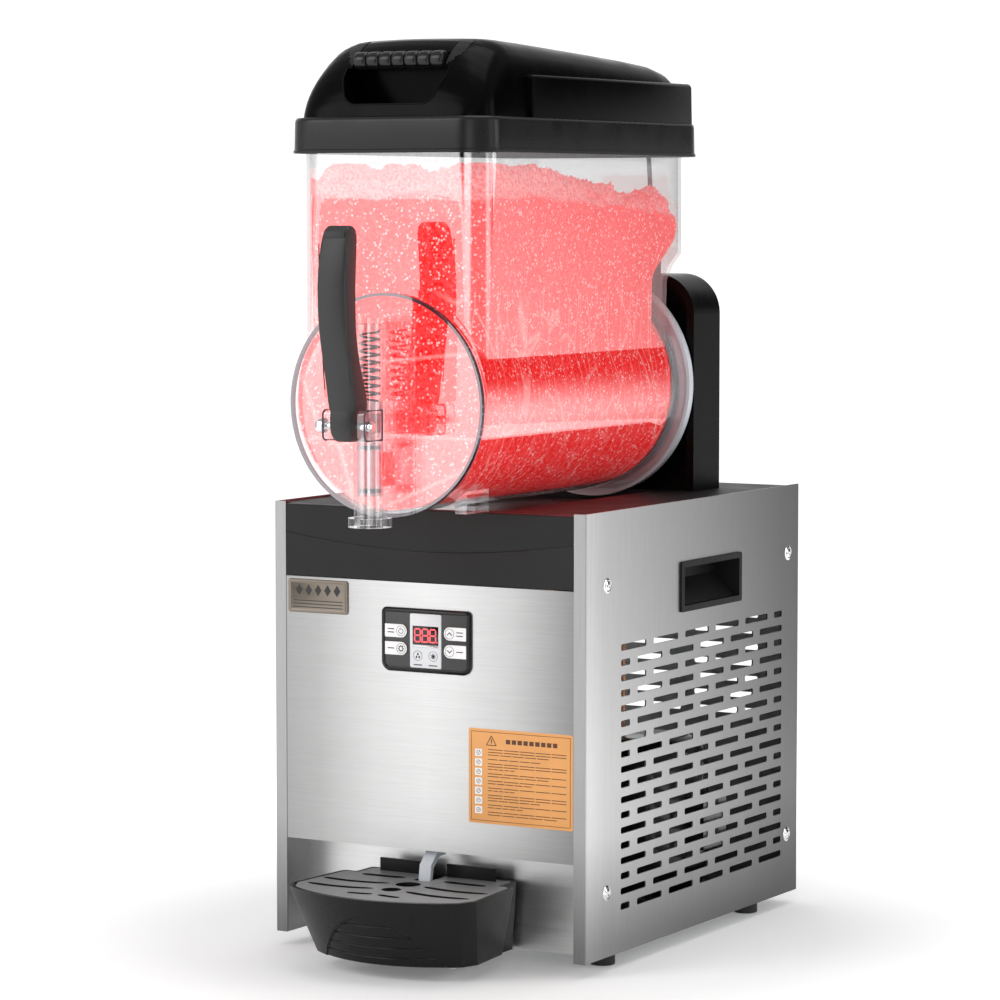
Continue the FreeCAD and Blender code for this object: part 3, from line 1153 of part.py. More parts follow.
def condenser():
    outer = -(INNER - CONDENSER_SIDE_GAP)
    x = (outer, outer + CONDENSER_THICK)
    y = (CONDENSER_FRONT, CONDENSER_FRONT + CONDENSER_LENGTH)
    z = (CONDENSER_BOTTOM, CONDENSER_BOTTOM + CONDENSER_HEIGHT)
    plates = [box(x, (y[0], y[0] + 2.0), (SHEET, z[1])), box(x, (y[1] - 2.0, y[1]), (SHEET, z[1]))]
    count = int((CONDENSER_LENGTH - 2 * FIN_PITCH) / FIN_PITCH)
    for i in range(1, count + 1):
        at = y[0] + FIN_PITCH * i
        plates.append(box((x[0] + 2, x[1] - 2), (at, at + FIN_THICK), z))
    tubes = []
    rows = int((CONDENSER_HEIGHT - 20.0) / 24.0)
    for i in range(rows):
        for dx in (8.0, CONDENSER_THICK - 8.0):
            tubes.append(rod((x[0] + dx, y[0] - 4.0, z[0] + 16.0 + 24.0 * i), Y_AXIS, PIPE_RADIUS,
                             CONDENSER_LENGTH + 8.0))
    add("condenser", plates[0].multiFuse(plates[1:] + tubes))


def fan_group():
    face = -(INNER - CONDENSER_SIDE_GAP - CONDENSER_THICK) + 0.0
    half_z = CONDENSER_HEIGHT / 2
    half_y = CONDENSER_LENGTH / 2
    centre = (FAN_Y, FAN_Z)
    sheet = box((face, face + 2.0), (FAN_Y - half_y, FAN_Y + half_y), (FAN_Z - half_z, FAN_Z + half_z))
    hole = FAN_RADIUS + FAN_GAP
    ring = rod((face, centre[0], centre[1]), X_AXIS, hole + 2.0, 40.0, hole)
    spokes = []
    for turn in range(3):
        spoke = box((face + 36.0, face + 40.0), (-3.0, 3.0), (FAN_MOTOR_RADIUS + 1, hole + 1.0))
        spoke.rotate(Vector(0, 0, 0), X_AXIS, 120.0 * turn)
        spoke.translate(Vector(0, centre[0], centre[1]))
        spokes.append(spoke)
    clamp = rod((face + 36.0, centre[0], centre[1]), X_AXIS, FAN_MOTOR_RADIUS + 3, 8.0, FAN_MOTOR_RADIUS)
    sheet = sheet.cut(rod((face - 1, centre[0], centre[1]), X_AXIS, hole, 5.0))
    add("fan_shroud", join(sheet, ring, clamp, *spokes))
    motor = rod((face + 32.0, centre[0], centre[1]), X_AXIS, FAN_MOTOR_RADIUS, FAN_MOTOR_LENGTH)
    spindle = rod((face + 8.0, centre[0], centre[1]), X_AXIS, 2.5, 26.0)
    add("fan_motor", join(motor, spindle))
    hub = rod((face + 10.0, centre[0], centre[1]), X_AXIS, 18.0, 16.0)
    blades = []
    for i in range(FAN_BLADES):
        blade = box((-1.0, 1.0), (-17.0, 17.0), (14.0, FAN_RADIUS - 2.0))
        blade.rotate(Vector(0, 0, 0), Z_AXIS, 62.0)
        blade.rotate(Vector(0, 0, 0), X_AXIS, 360.0 / FAN_BLADES * i)
        blade.translate(Vector(face + 18.0, centre[0], centre[1]))
        blades.append(blade)
    tip = rod((face + 6.0, centre[0], centre[1]), X_AXIS, FAN_RADIUS, 24.0)
    wheel = join(hub, *blades).common(tip)
    wheel = wheel.cut(rod((face, centre[0], centre[1]), X_AXIS, 2.5 + RUNNING_FIT, 60.0))
    add("fan_blades", wheel)


def pipework():
    x, y = COMPRESSOR_AT
    high = SHEET + 12.0 + COMPRESSOR_HEIGHT
    to_drum, _, _ = tube_along([(x - 30.0, y, high - 2.0), (x - 30.0, y, 290.0), (PIPE_X, y, 300.0),
                                (PIPE_X, PIPE_Y, 340.0), (PIPE_X, PIPE_Y, 440.0)], PIPE_RADIUS)
    drier = rod((x - 10.0, 150.0, 60.0), Y_AXIS, 9.0, 80.0)
    tube_x = -(INNER - CONDENSER_SIDE_GAP) + 8.0
    link, _, _ = tube_along([(x - 10.0, 150.5, 60.0), (x - 10.0, 115.0, 60.0), (x - 10.0, 70.0, 30.0),
                             (tube_x, 66.0, 30.0), (tube_x, CONDENSER_FRONT - 4.0, 30.0)],
                            PIPE_RADIUS)
    link = link.cut(drier)
    add("refrigerant_pipes", Part.makeCompound([to_drum.cut(pieces["compressor"]), link]))
    add("filter_drier", drier)


def power_inlet():
    back = CABINET_DEPTH
    x = (INLET_X[0] + INLET_FIT, INLET_X[1] - INLET_FIT)
    z = (INLET_Z[0] + INLET_FIT, INLET_Z[1] - INLET_FIT)
    flange = box((INLET_X[0] - INLET_FLANGE, INLET_X[1] + INLET_FLANGE), (back, back + INLET_FLANGE_THICK),
                 (INLET_Z[0] - INLET_FLANGE_HIGH, INLET_Z[1] + INLET_FLANGE_HIGH))
    flange = round_along(flange, Y_AXIS, INLET_WALL)
    body = box(x, (back - INLET_DEPTH, back), z)
    socket = box((x[0] + INLET_WALL, x[1] - INLET_WALL),
                 (back - INLET_SOCKET, back + INLET_FLANGE_THICK + CUT_PAST),
                 (z[0] + INLET_WALL, z[1] - INLET_WALL))
    blades = [box((a - INLET_BLADE_HALF, a + INLET_BLADE_HALF),
                  (back - INLET_SOCKET - INLET_WALL, back - INLET_WALL), INLET_BLADE_Z)
              for a in INLET_BLADES]
    add("power_inlet", join(join(flange, body).cut(socket), *blades))


side_panels()
handle_recesses()
front_panels()
rear_panel()
fascia_and_deck()
base_and_feet()
fasteners()
control_group()
badge_and_label()
column()
freezing_drum()
auger_group()
bowl_group()
tap_body()
tap_piston()
tap_handle()
lid_group()
lamp_lead()
drip_group()
compressor()
condenser()
fan_group()
pipework()
power_inlet()

# ---- export ----
front_most = pieces["tap_handle"].optimalBoundingBox().YMin
rear_most = pieces["power_inlet"].BoundBox.YMax
shift = Vector(0, -(front_most + rear_most) / 2, FOOT_HEIGHT)
os.makedirs("parts", exist_ok=True)
for name, shape in pieces.items():
    placed = shape.copy()
    placed.translate(shift)
    placed.exportStep("parts/" + name + ".step")
    print("%-22s %2d solids  valid %s  volume %.0f" % (name, len(placed.Solids), placed.isValid(),
                                                       placed.Volume))
print("nodes", len(pieces), "shift", shift)
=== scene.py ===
"""Looks for the countertop slushie machine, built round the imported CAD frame.

Helpers take millimetres in the cabinet frame: x = 0 midway between the side panels,
y = 0 on the front flanges with +y to the back, z = 0 on the lower edge of the panels.
at() turns them into the row frame, in metres.
"""
import math
import bmesh
import bpy
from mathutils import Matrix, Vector, noise


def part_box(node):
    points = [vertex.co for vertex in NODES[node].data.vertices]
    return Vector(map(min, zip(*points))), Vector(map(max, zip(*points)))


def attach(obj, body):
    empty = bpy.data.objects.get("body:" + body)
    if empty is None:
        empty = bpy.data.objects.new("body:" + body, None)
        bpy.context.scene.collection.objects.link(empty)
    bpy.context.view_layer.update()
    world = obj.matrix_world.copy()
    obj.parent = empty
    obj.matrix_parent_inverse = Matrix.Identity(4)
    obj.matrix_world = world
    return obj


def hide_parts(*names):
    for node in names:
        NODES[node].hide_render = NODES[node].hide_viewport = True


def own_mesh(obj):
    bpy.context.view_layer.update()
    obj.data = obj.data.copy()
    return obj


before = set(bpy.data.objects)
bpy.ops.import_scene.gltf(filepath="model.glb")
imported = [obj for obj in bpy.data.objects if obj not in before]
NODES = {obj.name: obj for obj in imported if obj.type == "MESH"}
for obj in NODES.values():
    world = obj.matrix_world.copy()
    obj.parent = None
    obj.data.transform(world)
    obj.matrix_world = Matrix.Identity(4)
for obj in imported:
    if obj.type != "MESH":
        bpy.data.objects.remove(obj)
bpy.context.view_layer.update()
SCENE = bpy.context.scene
MM = 0.001
FRONT_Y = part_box("side_panel_right")[0].y
BASE_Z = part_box("side_panel_right")[0].z


def at(x, y, z):
    return Vector((x * MM, FRONT_Y + y * MM, BASE_Z + z * MM))


# ---------------------------------------------------------------- camera and studio
CAMERA_PLACE = (1.7436, -3.03535, 0.68275)
AZIMUTH, ELEVATION = math.radians(29.9214), math.radians(4.4465)
camera = bpy.data.objects.new("camera", bpy.data.cameras.new("camera"))
SCENE.collection.objects.link(camera)
camera.data.lens = 135.95
camera.data.sensor_width = 36.0
back = Vector((math.sin(AZIMUTH) * math.cos(ELEVATION), -math.cos(AZIMUTH) * math.cos(ELEVATION),
               math.sin(ELEVATION)))
camera.location = CAMERA_PLACE
camera.rotation_euler = (-back).to_track_quat("-Z", "Y").to_euler()
SCENE.camera = camera
SCENE.view_settings.view_transform = "Standard"


# ---------------------------------------------------------------- node-tree helpers
class Nodes:
    """Short hand for adding nodes to a tree."""

    def add(self, kind, inputs=None, **settings):
        node = self.tree.nodes.new(kind)
        for key, value in settings.items():
            setattr(node, key, value)
        for key, value in (inputs or {}).items():
            self.feed(value, node.inputs[key])
        return node

    def feed(self, value, socket):
        if isinstance(value, bpy.types.NodeSocket):
            self.tree.links.new(value, socket)
        else:
            socket.default_value = value


class Tree(Nodes):
    """A shader node tree."""

    def __init__(self, tree):
        self.tree = tree
        tree.nodes.clear()

    def math(self, how, a, b=0.0, c=0.0, clamp=False):
        return self.add("ShaderNodeMath", {0: a, 1: b, 2: c}, operation=how, use_clamp=clamp).outputs[0]

    def times(self, a, b):
        return self.math("MULTIPLY", a, b)

    def place(self, vector, scale):
        return self.add("ShaderNodeMapping", {"Vector": vector, "Scale": scale}).outputs[0]

    def where(self, scale=(1, 1, 1)):
        return self.place(self.add("ShaderNodeTexCoord").outputs["Object"], scale)

    def split(self, vector):
        return self.add("ShaderNodeSeparateXYZ", {0: vector}).outputs

    def grey(self, value):
        return self.add("ShaderNodeCombineColor", {0: value, 1: value, 2: value}).outputs[0]

    def noise(self, vector, scale, detail=3.0, rough=0.5):
        return self.add("ShaderNodeTexNoise", {"Vector": vector, "Scale": scale, "Detail": detail,
                                               "Roughness": rough}).outputs["Fac"]

    def cells(self, vector, scale, feature="F1"):
        return self.add("ShaderNodeTexVoronoi", {"Vector": vector, "Scale": scale, "Randomness": 1.0},
                        feature=feature).outputs["Distance"]

    def ramp(self, share, levels):
        """Brightness along share: levels lists (place from 0 to 1, value)."""
        ramp = self.add("ShaderNodeValToRGB", {0: share})
        stops = ramp.color_ramp.elements
        while len(stops) > 1:
            stops.remove(stops[0])
        stops[0].position, stops[0].color = levels[0][0], rgba(levels[0][1])
        for spot, value in levels[1:]:
            stops.new(spot).color = rgba(value)
        return ramp.outputs[0]

    def fit(self, value, low, high, to_low=0.0, to_high=1.0, smooth=False):
        return self.add("ShaderNodeMapRange", {0: value, 1: low, 2: high, 3: to_low, 4: to_high},
                        interpolation_type="SMOOTHSTEP" if smooth else "LINEAR").outputs[0]

    def mix(self, factor, a, b, how="MIX"):
        node = self.add("ShaderNodeMix", data_type="RGBA", blend_type=how)
        self.feed(factor, node.inputs[0])
        for value, socket in ((a, node.inputs[6]), (b, node.inputs[7])):
            self.feed(value if isinstance(value, bpy.types.NodeSocket) else rgba(value), socket)
        return node.outputs[2]

    def bump(self, height, distance, strength=1.0):
        return self.add("ShaderNodeBump", {"Height": height, "Distance": distance,
                                           "Strength": strength}).outputs[0]

    def skin(self, **inputs):
        given = {k.replace("_", " "): v for k, v in inputs.items()}
        return self.add("ShaderNodeBsdfPrincipled", given)

    def finish(self, shader, kind="ShaderNodeOutputMaterial"):
        self.add(kind, {"Surface": shader.outputs[0]})


def rgba(value):
    if isinstance(value, (int, float)):
        return (value, value, value, 1.0)
    return tuple(value) if len(value) == 4 else tuple(value) + (1.0,)


def new_material(name):
    material = bpy.data.materials.new(name)
    material.use_nodes = True
    return material, Tree(material.node_tree)


# A studio room: brightness by compass direction, seen from the machine.
# Degrees run from 0 at the front through 90 on the right to 180 at the back.
ROOM = [(-180, 1.15), (-128, 1.15), (-108, 0.55), (-72, 0.75), (-48, 2.0), (-22, 2.0), (-19, 0.04),
        (6, 0.04), (12, 2.3), (28, 2.3), (36, 0.45), (82, 0.45), (88, 2.0), (95, 2.0), (101, 0.04),
        (130, 0.10), (140, 0.60), (162, 0.70), (172, 1.15), (180, 1.15)]
# Between the rear right corner and the back, a soft band of light lies below the horizon instead.
GLOW_MIDDLE, GLOW_LEVEL = -0.19, 1.2
CEILING = 0.55
FLOOR_HALF = 1.5


def studio():
    world = bpy.data.worlds.new("studio")
    SCENE.world = world
    world.use_nodes = True
    t = Tree(world.node_tree)
    away = t.add("ShaderNodeTexCoord").outputs["Generated"]
    part = t.split(away)
    turn = t.math("ARCTAN2", part[0], t.times(part[1], -1.0))
    share = t.math("MULTIPLY_ADD", turn, 1 / math.tau, 0.5)
    top = max(v for _, v in ROOM)
    room = t.times(t.ramp(share, [(degrees / 360 + 0.5, value / top) for degrees, value in ROOM]), top)
    rear = t.times(t.fit(turn, math.radians(112), math.radians(136)),
                   t.fit(turn, math.radians(176), math.radians(166)))
    glow = t.times(t.fit(part[2], 0.16, GLOW_MIDDLE, 0.0, GLOW_LEVEL, smooth=True),
                   t.fit(part[2], -0.50, GLOW_MIDDLE, 0.0, 1.0, smooth=True))
    room = t.math("ADD", t.times(room, t.math("SUBTRACT", 1.0, rear)), t.times(glow, rear))
    height = t.fit(part[2], 0.30, 0.60, smooth=True)
    light = t.math("ADD", t.times(room, t.math("SUBTRACT", 1.0, height)), t.times(height, CEILING))
    shader = t.add("ShaderNodeBackground", {"Color": rgba(1), "Strength": light})
    t.finish(shader, "ShaderNodeOutputWorld")

    def lamp(name, place, aim, size, watts, tall=None):
        data = bpy.data.lights.new(name, "AREA")
        data.energy = watts
        data.shape = "RECTANGLE"
        data.size, data.size_y = size, tall or size
        o = bpy.data.objects.new(name, data)
        o.location = place
        o.rotation_euler = (Vector(aim) - Vector(place)).to_track_quat("-Z", "Y").to_euler()
        SCENE.collection.objects.link(o)

    lamp("key_box", (-1.6, -2.6, 2.4), (0, 0, 0.5), 1.6, 26)
    lamp("top_box", (0.2, 0.1, 2.6), (0, 0, 0.6), 1.4, 16)
    lamp("side_box", (3.0, 1.2, 1.3), (0, 0, 0.5), 0.9, 14, 1.6)

    floor = bpy.data.meshes.new("floor")
    size = FLOOR_HALF
    floor.from_pydata([(-size, -size, 0), (size, -size, 0), (size, size, 0), (-size, size, 0)], [],
                      [(0, 1, 2, 3)])
    ground = bpy.data.objects.new("floor", floor)
    SCENE.collection.objects.link(ground)
    pale, t = new_material("pale_floor")
    cloud = t.fit(t.noise(t.where((2, 2, 2)), 1.0), 0.0, 1.0, 0.90, 0.94)
    reach = t.add("ShaderNodeVectorMath", {0: t.where()}, operation="LENGTH").outputs["Value"]
    t.finish(t.skin(Base_Color=t.grey(cloud), Roughness=0.9, Specular_IOR_Level=0.0, Emission_Color=rgba(1),
                    Emission_Strength=t.fit(reach, 0.3, 0.9, 0.14, 0.75)))
    floor.materials.append(pale)


studio()


# ---------------------------------------------------------------- the lamp's lead
LEAD_X, LEAD_Y = 47.0, 336.0
LEAD_ROUTE = [(LEAD_X, LEAD_Y, 745.0), (LEAD_X, LEAD_Y, 726.0), (LEAD_X + 1.4, LEAD_Y + 0.6, 706.0),
              (LEAD_X + 1.8, LEAD_Y + 1.6, 685.0), (LEAD_X + 0.4, LEAD_Y + 1.8, 664.0),
              (LEAD_X, LEAD_Y + 1.0, 646.0), (LEAD_X, LEAD_Y + 1.0, 631.0)]
LEAD_RADIUS = 2.25
curve = bpy.data.curves.new("lamp_lead_flex", "CURVE")
curve.dimensions = "3D"
curve.resolution_u = 16
curve.bevel_depth = LEAD_RADIUS * MM
curve.bevel_resolution = 5
curve.use_fill_caps = True
spline = curve.splines.new("NURBS")
spline.points.add(len(LEAD_ROUTE) - 1)
for point, place in zip(spline.points, LEAD_ROUTE):
    point.co = (*at(*place), 1.0)
spline.order_u = 3
spline.use_endpoint_u = True
lead = bpy.data.objects.new("lamp_lead_flex", curve)
SCENE.collection.objects.link(lead)
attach(lead, "lid")
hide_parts("lamp_lead")


# ---------------------------------------------------------------- materials
def steel_sheet(name, along, across, painted_tones, painted_foot_shade=None):
    """Brushed stainless sheet. along is the axis that the strokes run on, and the tones list gives
    (place on the axis across, brightness) for a painted sheen: a soft change of brightness painted into
    the colour for how light falls across the sheet. The foot dims it towards its lower edge as painted
    shade: (height, share left there, height where it is whole)."""
    m, t = new_material(name)
    fine = [2600.0] * 3
    fine[along] = 22.0
    broad = [240.0] * 3
    broad[along] = 5.0
    strokes = t.noise(t.where(fine), 1.0, 3.0, 0.65)
    bands = t.noise(t.where(broad), 1.0, 4.0, 0.6)
    ends = painted_tones[0][0], painted_tones[-1][0]
    start = (0.0, FRONT_Y, BASE_Z)[across]
    place = t.split(t.where())
    share = t.fit(place[across], start + ends[0] * MM, start + ends[1] * MM)
    # painted sheen: brightness across the sheet is painted into its base colour
    sheen = t.ramp(share, [((spot - ends[0]) / (ends[1] - ends[0]), value) for spot, value in painted_tones])
    wear = t.math("ADD", t.fit(strokes, 0.25, 0.75, 0.90, 1.08), t.fit(bands, 0.3, 0.7, -0.03, 0.03))
    tone = t.times(sheen, wear)
    # painted shade: the sheet is dimmed towards its lower edge
    if painted_foot_shade:
        tone = t.times(tone, t.fit(place[2], BASE_Z + painted_foot_shade[0] * MM, BASE_Z + painted_foot_shade[2] * MM, painted_foot_shade[1], 1.0))
    grey = t.add("ShaderNodeCombineColor", {0: tone, 1: tone, 2: t.times(tone, 0.998)}).outputs[0]
    rough = t.fit(bands, 0.25, 0.75, 0.30, 0.40)
    normal = t.bump(strokes, 0.00003, 0.3)
    t.finish(t.skin(Base_Color=grey, Metallic=1.0, Roughness=rough, Normal=normal))
    return m


def moulding(name, colour, rough=0.5, grain=1100.0, depth=0.00003, coat=0.0, spread=0.06, spec=0.5):
    """Moulded plastic or rubber with a fine grain and slight changes of sheen."""
    m, t = new_material(name)
    place = t.where()
    fine = t.noise(place, grain, 2.0, 0.6)
    cloud = t.noise(place, 28.0, 4.0, 0.6)
    low = tuple(c * 0.88 for c in rgba(colour)[:3])
    high = tuple(min(1.0, c * 1.12) for c in rgba(colour)[:3])
    shade = t.mix(cloud, low, high)
    sheen = t.fit(cloud, 0.3, 0.7, rough - spread, rough + spread)
    t.finish(t.skin(Base_Color=shade, Roughness=sheen, Normal=t.bump(fine, depth), Coat_Weight=coat,
                    Coat_Roughness=0.06, Specular_IOR_Level=spec))
    return m


def metal(name, colour, rough=0.3, streak=(300, 300, 300), spread=0.08, depth=0.00001):
    """Bare or plated metal with fine marks."""
    m, t = new_material(name)
    marks = t.noise(t.where(streak), 1.0, 4.0, 0.65)
    low = tuple(c * 0.85 for c in rgba(colour)[:3])
    shade = t.mix(marks, low, rgba(colour)[:3])
    t.finish(t.skin(Base_Color=shade, Metallic=1.0, Normal=t.bump(marks, depth, 0.5),
                    Roughness=t.fit(marks, 0.3, 0.7, rough - spread, rough + spread)))
    return m


def clear_plastic(name, shine, tint=(0.975, 0.972, 0.972), rough=0.03, film=(0.95, 0.95, 0.96)):
    """Thin clear moulding: it lets light straight through and mirrors part of the room; its mirrored
    colour is dimmed towards the back as painted shade."""
    m, t = new_material(name)
    waves = t.noise(t.where((9, 9, 9)), 1.0, 2.0)
    normal = t.bump(waves, 0.0004, 0.15)
    edge = t.add("ShaderNodeLayerWeight", {"Blend": 0.5, "Normal": normal}).outputs["Facing"]
    share = t.math("MULTIPLY_ADD", t.math("POWER", edge, 4.0), 1.0 - shine, shine, clamp=True)
    through = t.add("ShaderNodeBsdfTransparent", {"Color": rgba(tint)})
    depth = t.split(t.where())[1]
    # painted shade: the mirrored colour falls to 55 % towards the back
    mirror = t.mix(t.fit(depth, FRONT_Y - 0.02, FRONT_Y + 0.30), film, tuple(0.55 * c for c in film))
    gloss = t.skin(Base_Color=mirror, Metallic=1.0, Roughness=rough, Normal=normal)
    t.finish(t.add("ShaderNodeMixShader", {0: share, 1: through.outputs[0], 2: gloss.outputs[0]}))
    return m


def moulding_with_painted_side_shade(name, top, side, rough=0.42):
    """A moulding whose upward faces are pale and whose edges and slot walls are painted dark and less shiny
    as painted shade.
    """
    m, t = new_material(name)
    place = t.where()
    up = t.split(t.add("ShaderNodeNewGeometry").outputs["Normal"])[2]
    grain = t.noise(place, 1300.0, 2.0)
    cloud = t.noise(place, 30.0, 3.0)
    pale = t.mix(cloud, tuple(c * 0.9 for c in top), tuple(c * 1.1 for c in top))
    # painted shade: faces that do not look up take the dark side colour and less shine
    shade = t.mix(t.fit(up, 0.55, 0.85), rgba(side), pale)
    t.finish(t.skin(Base_Color=shade, Roughness=t.fit(cloud, 0.3, 0.7, rough - 0.06, rough + 0.06),
                    Normal=t.bump(grain, 0.00002), Specular_IOR_Level=t.fit(up, 0.55, 0.85, 0.12, 0.4)))
    return m


# painted sheen: the front sheet is painted brightest in the middle and darker towards both sides
FRONT_STEEL = steel_sheet("brushed_front_painted_sheen", 0, 0, [
    (-150, 0.297), (-116, 0.348), (-87, 0.433), (-58, 0.51), (-29, 0.552),
    (0, 0.579), (29, 0.552), (58, 0.496), (87, 0.435), (116, 0.335), (150, 0.222)])
# painted light: the lower bay's sheet is painted paler to lift the shade of its recess, palest from the
# middle to the right
BAY_STEEL = steel_sheet("brushed_bay_painted_light", 0, 0, [(-150, 0.5), (0, 0.85), (87, 0.85), (150, 0.6)])
# painted sheen and shade: the side sheets are painted dark along their first 1.8 mm, palest just behind it,
# darker towards the back, and dimmed towards the lower edge
SIDE_STEEL = steel_sheet("brushed_side_painted_sheen", 2, 1, [
    (0, 0.32), (1.0, 0.32), (1.6, 0.32), (1.8, 0.66), (8, 0.66), (38, 0.55), (98, 0.465), (158, 0.395),
    (218, 0.335), (278, 0.27), (338, 0.21), (398, 0.155), (434, 0.135)], (10, 0.55, 110))
ZINC = metal("zinc_sheet", (0.52, 0.53, 0.54), 0.42, (90, 90, 90))
STEEL = metal("plain_steel", (0.62, 0.62, 0.62), 0.3)
DRUM = metal("drum_steel", (0.75, 0.75, 0.76), 0.2, (40, 900, 900))
CHROME = metal("polished_steel", (0.82, 0.82, 0.83), 0.1)
FINS = metal("fin_aluminium", (0.75, 0.76, 0.77), 0.35, (500, 500, 60))
COPPER = metal("copper_pipe", (0.72, 0.38, 0.24), 0.28)
BLACK = moulding("black_moulding", 0.009, 0.5, 1400, spec=0.16)
SATIN = moulding("satin_moulding", 0.0025, 0.30, 1500, 0.00001, spec=0.06)
LID = moulding("lid_moulding", 0.0014, 0.24, 1500, 0.00001, spec=0.045)
# painted light: the rim is a lit copy of the lid's black plastic, with a paler base and more shine
RIM = moulding("rim_moulding_painted_light", 0.009, 0.30, 1500, 0.00001, spec=0.26)
GLOSS = moulding("gloss_moulding", 0.006, 0.14, 900, 0.000004, spread=0.04, spec=0.25)
RUBBER = moulding("black_rubber", 0.018, 0.7, 1600)
SILICONE = moulding("grey_silicone", (0.62, 0.65, 0.69), 0.38, 900, 0.00001)
WHITE = moulding("white_moulding", 0.82, 0.32, 900, 0.00001)
AUGER = moulding("auger_moulding", (0.80, 0.80, 0.77), 0.42, 900)
LENS = moulding("frosted_lens", (0.86, 0.88, 0.92), 0.45, 1500)
GREY_FILM = moulding("grey_film", (0.68, 0.69, 0.71), 0.42, 1800, 0.000005)
GRID = moulding_with_painted_side_shade("grid_moulding_painted_shade", (0.24, 0.243, 0.25), 0.012)
LEAD = moulding("lead_sheath", (0.10, 0.10, 0.105), 0.5, 1300)
BOARD = moulding("circuit_board", (0.02, 0.16, 0.06), 0.4, 500, 0.00002)
MOTOR = moulding("motor_paint", (0.14, 0.145, 0.155), 0.5, 350, 0.00005)
ENAMEL = moulding("black_enamel", 0.014, 0.25, 250, 0.00003, coat=0.4)
ORANGE = moulding("orange_film", (0.76, 0.36, 0.125), 0.5, 1500, 0.000004, spec=0.3)
PEWTER = metal("pewter_plate", (0.21, 0.18, 0.15), 0.36, (60, 900, 900))
DISPLAY = moulding("display_window", 0.006, 0.16, 700, 0.000002)
CLEAR = clear_plastic("clear_wall", 0.16)
CLEAR_TAP = clear_plastic("clear_tap", 0.10)

HANDLE = moulding("handle_moulding", 0.026, 0.42, 1500, 0.00002, spec=0.35)
FASCIA = moulding("fascia_moulding", 0.012, 0.42, 1500, 0.00001, spec=0.22)
TRAY = moulding("tray_moulding", 0.006, 0.32, 1500, 0.00002, spec=0.20)
DARK_FILM = moulding("dark_film", 0.036, 0.40, 1800, 0.000004)
INK = moulding("dark_ink", 0.02, 0.6, 1800, 0.000002)
LABEL_INK = moulding("label_ink", (0.10, 0.035, 0.01), 0.6, 1800, 0.000002)
GRIP = moulding("grip_rubber", 0.007, 0.24, 1200, 0.00001, spec=0.3)


def knurled():
    m, t = new_material("knurled_pad")
    place = t.where()
    waves = [t.add("ShaderNodeTexWave", {"Vector": lie, "Scale": 160.0, "Distortion": 0.0},
                   bands_direction="DIAGONAL").outputs["Fac"] for lie in (place, t.place(place, (-1, 1, 1)))]
    high = t.math("MAXIMUM", *waves)
    # painted shade: the knurl's grooves are painted darker than its ridge tops
    t.finish(t.skin(Base_Color=t.mix(high, 0.002, 0.012), Roughness=0.4, Normal=t.bump(high, 0.0008, 0.9),
                    Specular_IOR_Level=0.2))
    return m


def glowing(name, colour, strength, base):
    m, t = new_material(name)
    level = t.fit(t.noise(t.where(), 900.0, 2.0), 0.3, 0.7, strength * 0.9, strength * 1.1)
    t.finish(t.skin(Base_Color=rgba(base), Roughness=0.4, Emission_Color=rgba(colour),
                    Emission_Strength=level))
    return m


KNURL = knurled()
GLOW = glowing("lit_segment", (1.0, 0.10, 0.13), 1.6, (0.4, 0.02, 0.02))
# painted shade: a dark tinted clear finish for the thick edges of clear parts, for how dark they look edge-on
CLEAR_EDGE_SHADE = clear_plastic("clear_edge_painted_shade", 0.55, (0.40, 0.37, 0.44), 0.35, (0.16, 0.145, 0.18))
MILKY = clear_plastic("milky_piston", 0.24, (0.93, 0.93, 0.95), 0.2)
SPRING = metal("spring_wire", (0.24, 0.24, 0.26), 0.22)


def frozen_drink():
    m, t = new_material("red_slush")
    place = t.where()
    froth = t.add("ShaderNodeAttribute", attribute_name="froth").outputs["Fac"]
    small = t.noise(place, 330.0, 4.0, 0.75)
    broad = t.noise(place, 24.0, 4.0, 0.6)
    grains = t.times(t.fit(t.cells(place, 300.0), 0.20, 0.45, 1.0, 0.0, smooth=True),
                     t.fit(t.noise(place, 150.0, 2.0), 0.44, 0.58))
    tone = t.math("ADD", t.fit(small, 0.42, 0.58, 0.0, 0.7), t.fit(broad, 0.35, 0.65, 0.0, 0.3))
    red = t.mix(tone, (0.86, 0.0, 0.0), (1.0, 0.066, 0.07))
    red = t.mix(grains, red, (1.0, 0.47, 0.47))
    vein = t.cells(t.place(place, (9, 55, 14)), 1.0, "DISTANCE_TO_EDGE")
    low = t.fit(t.split(place)[2], BASE_Z + 0.585, BASE_Z + 0.60, 1.0, 0.0)
    red = t.mix(t.times(t.fit(vein, 0.0, 0.035, 0.35, 0.0), low), red, (1.0, 0.55, 0.52))
    pink = t.mix(t.fit(small, 0.40, 0.60), (0.80, 0.09, 0.095), (0.92, 0.33, 0.33))
    colour = t.mix(froth, red, pink)
    # painted light: the drink glows with its own colour, and its base colour is halved to leave room for the
    # glow
    t.finish(t.skin(Base_Color=t.mix(1.0, colour, 0.5, "MULTIPLY"), Roughness=0.5, Emission_Color=colour,
                    Normal=t.bump(small, 0.0012, 0.5), Specular_IOR_Level=0.2, Emission_Strength=1.1))
    return m


SLUSH = frozen_drink()

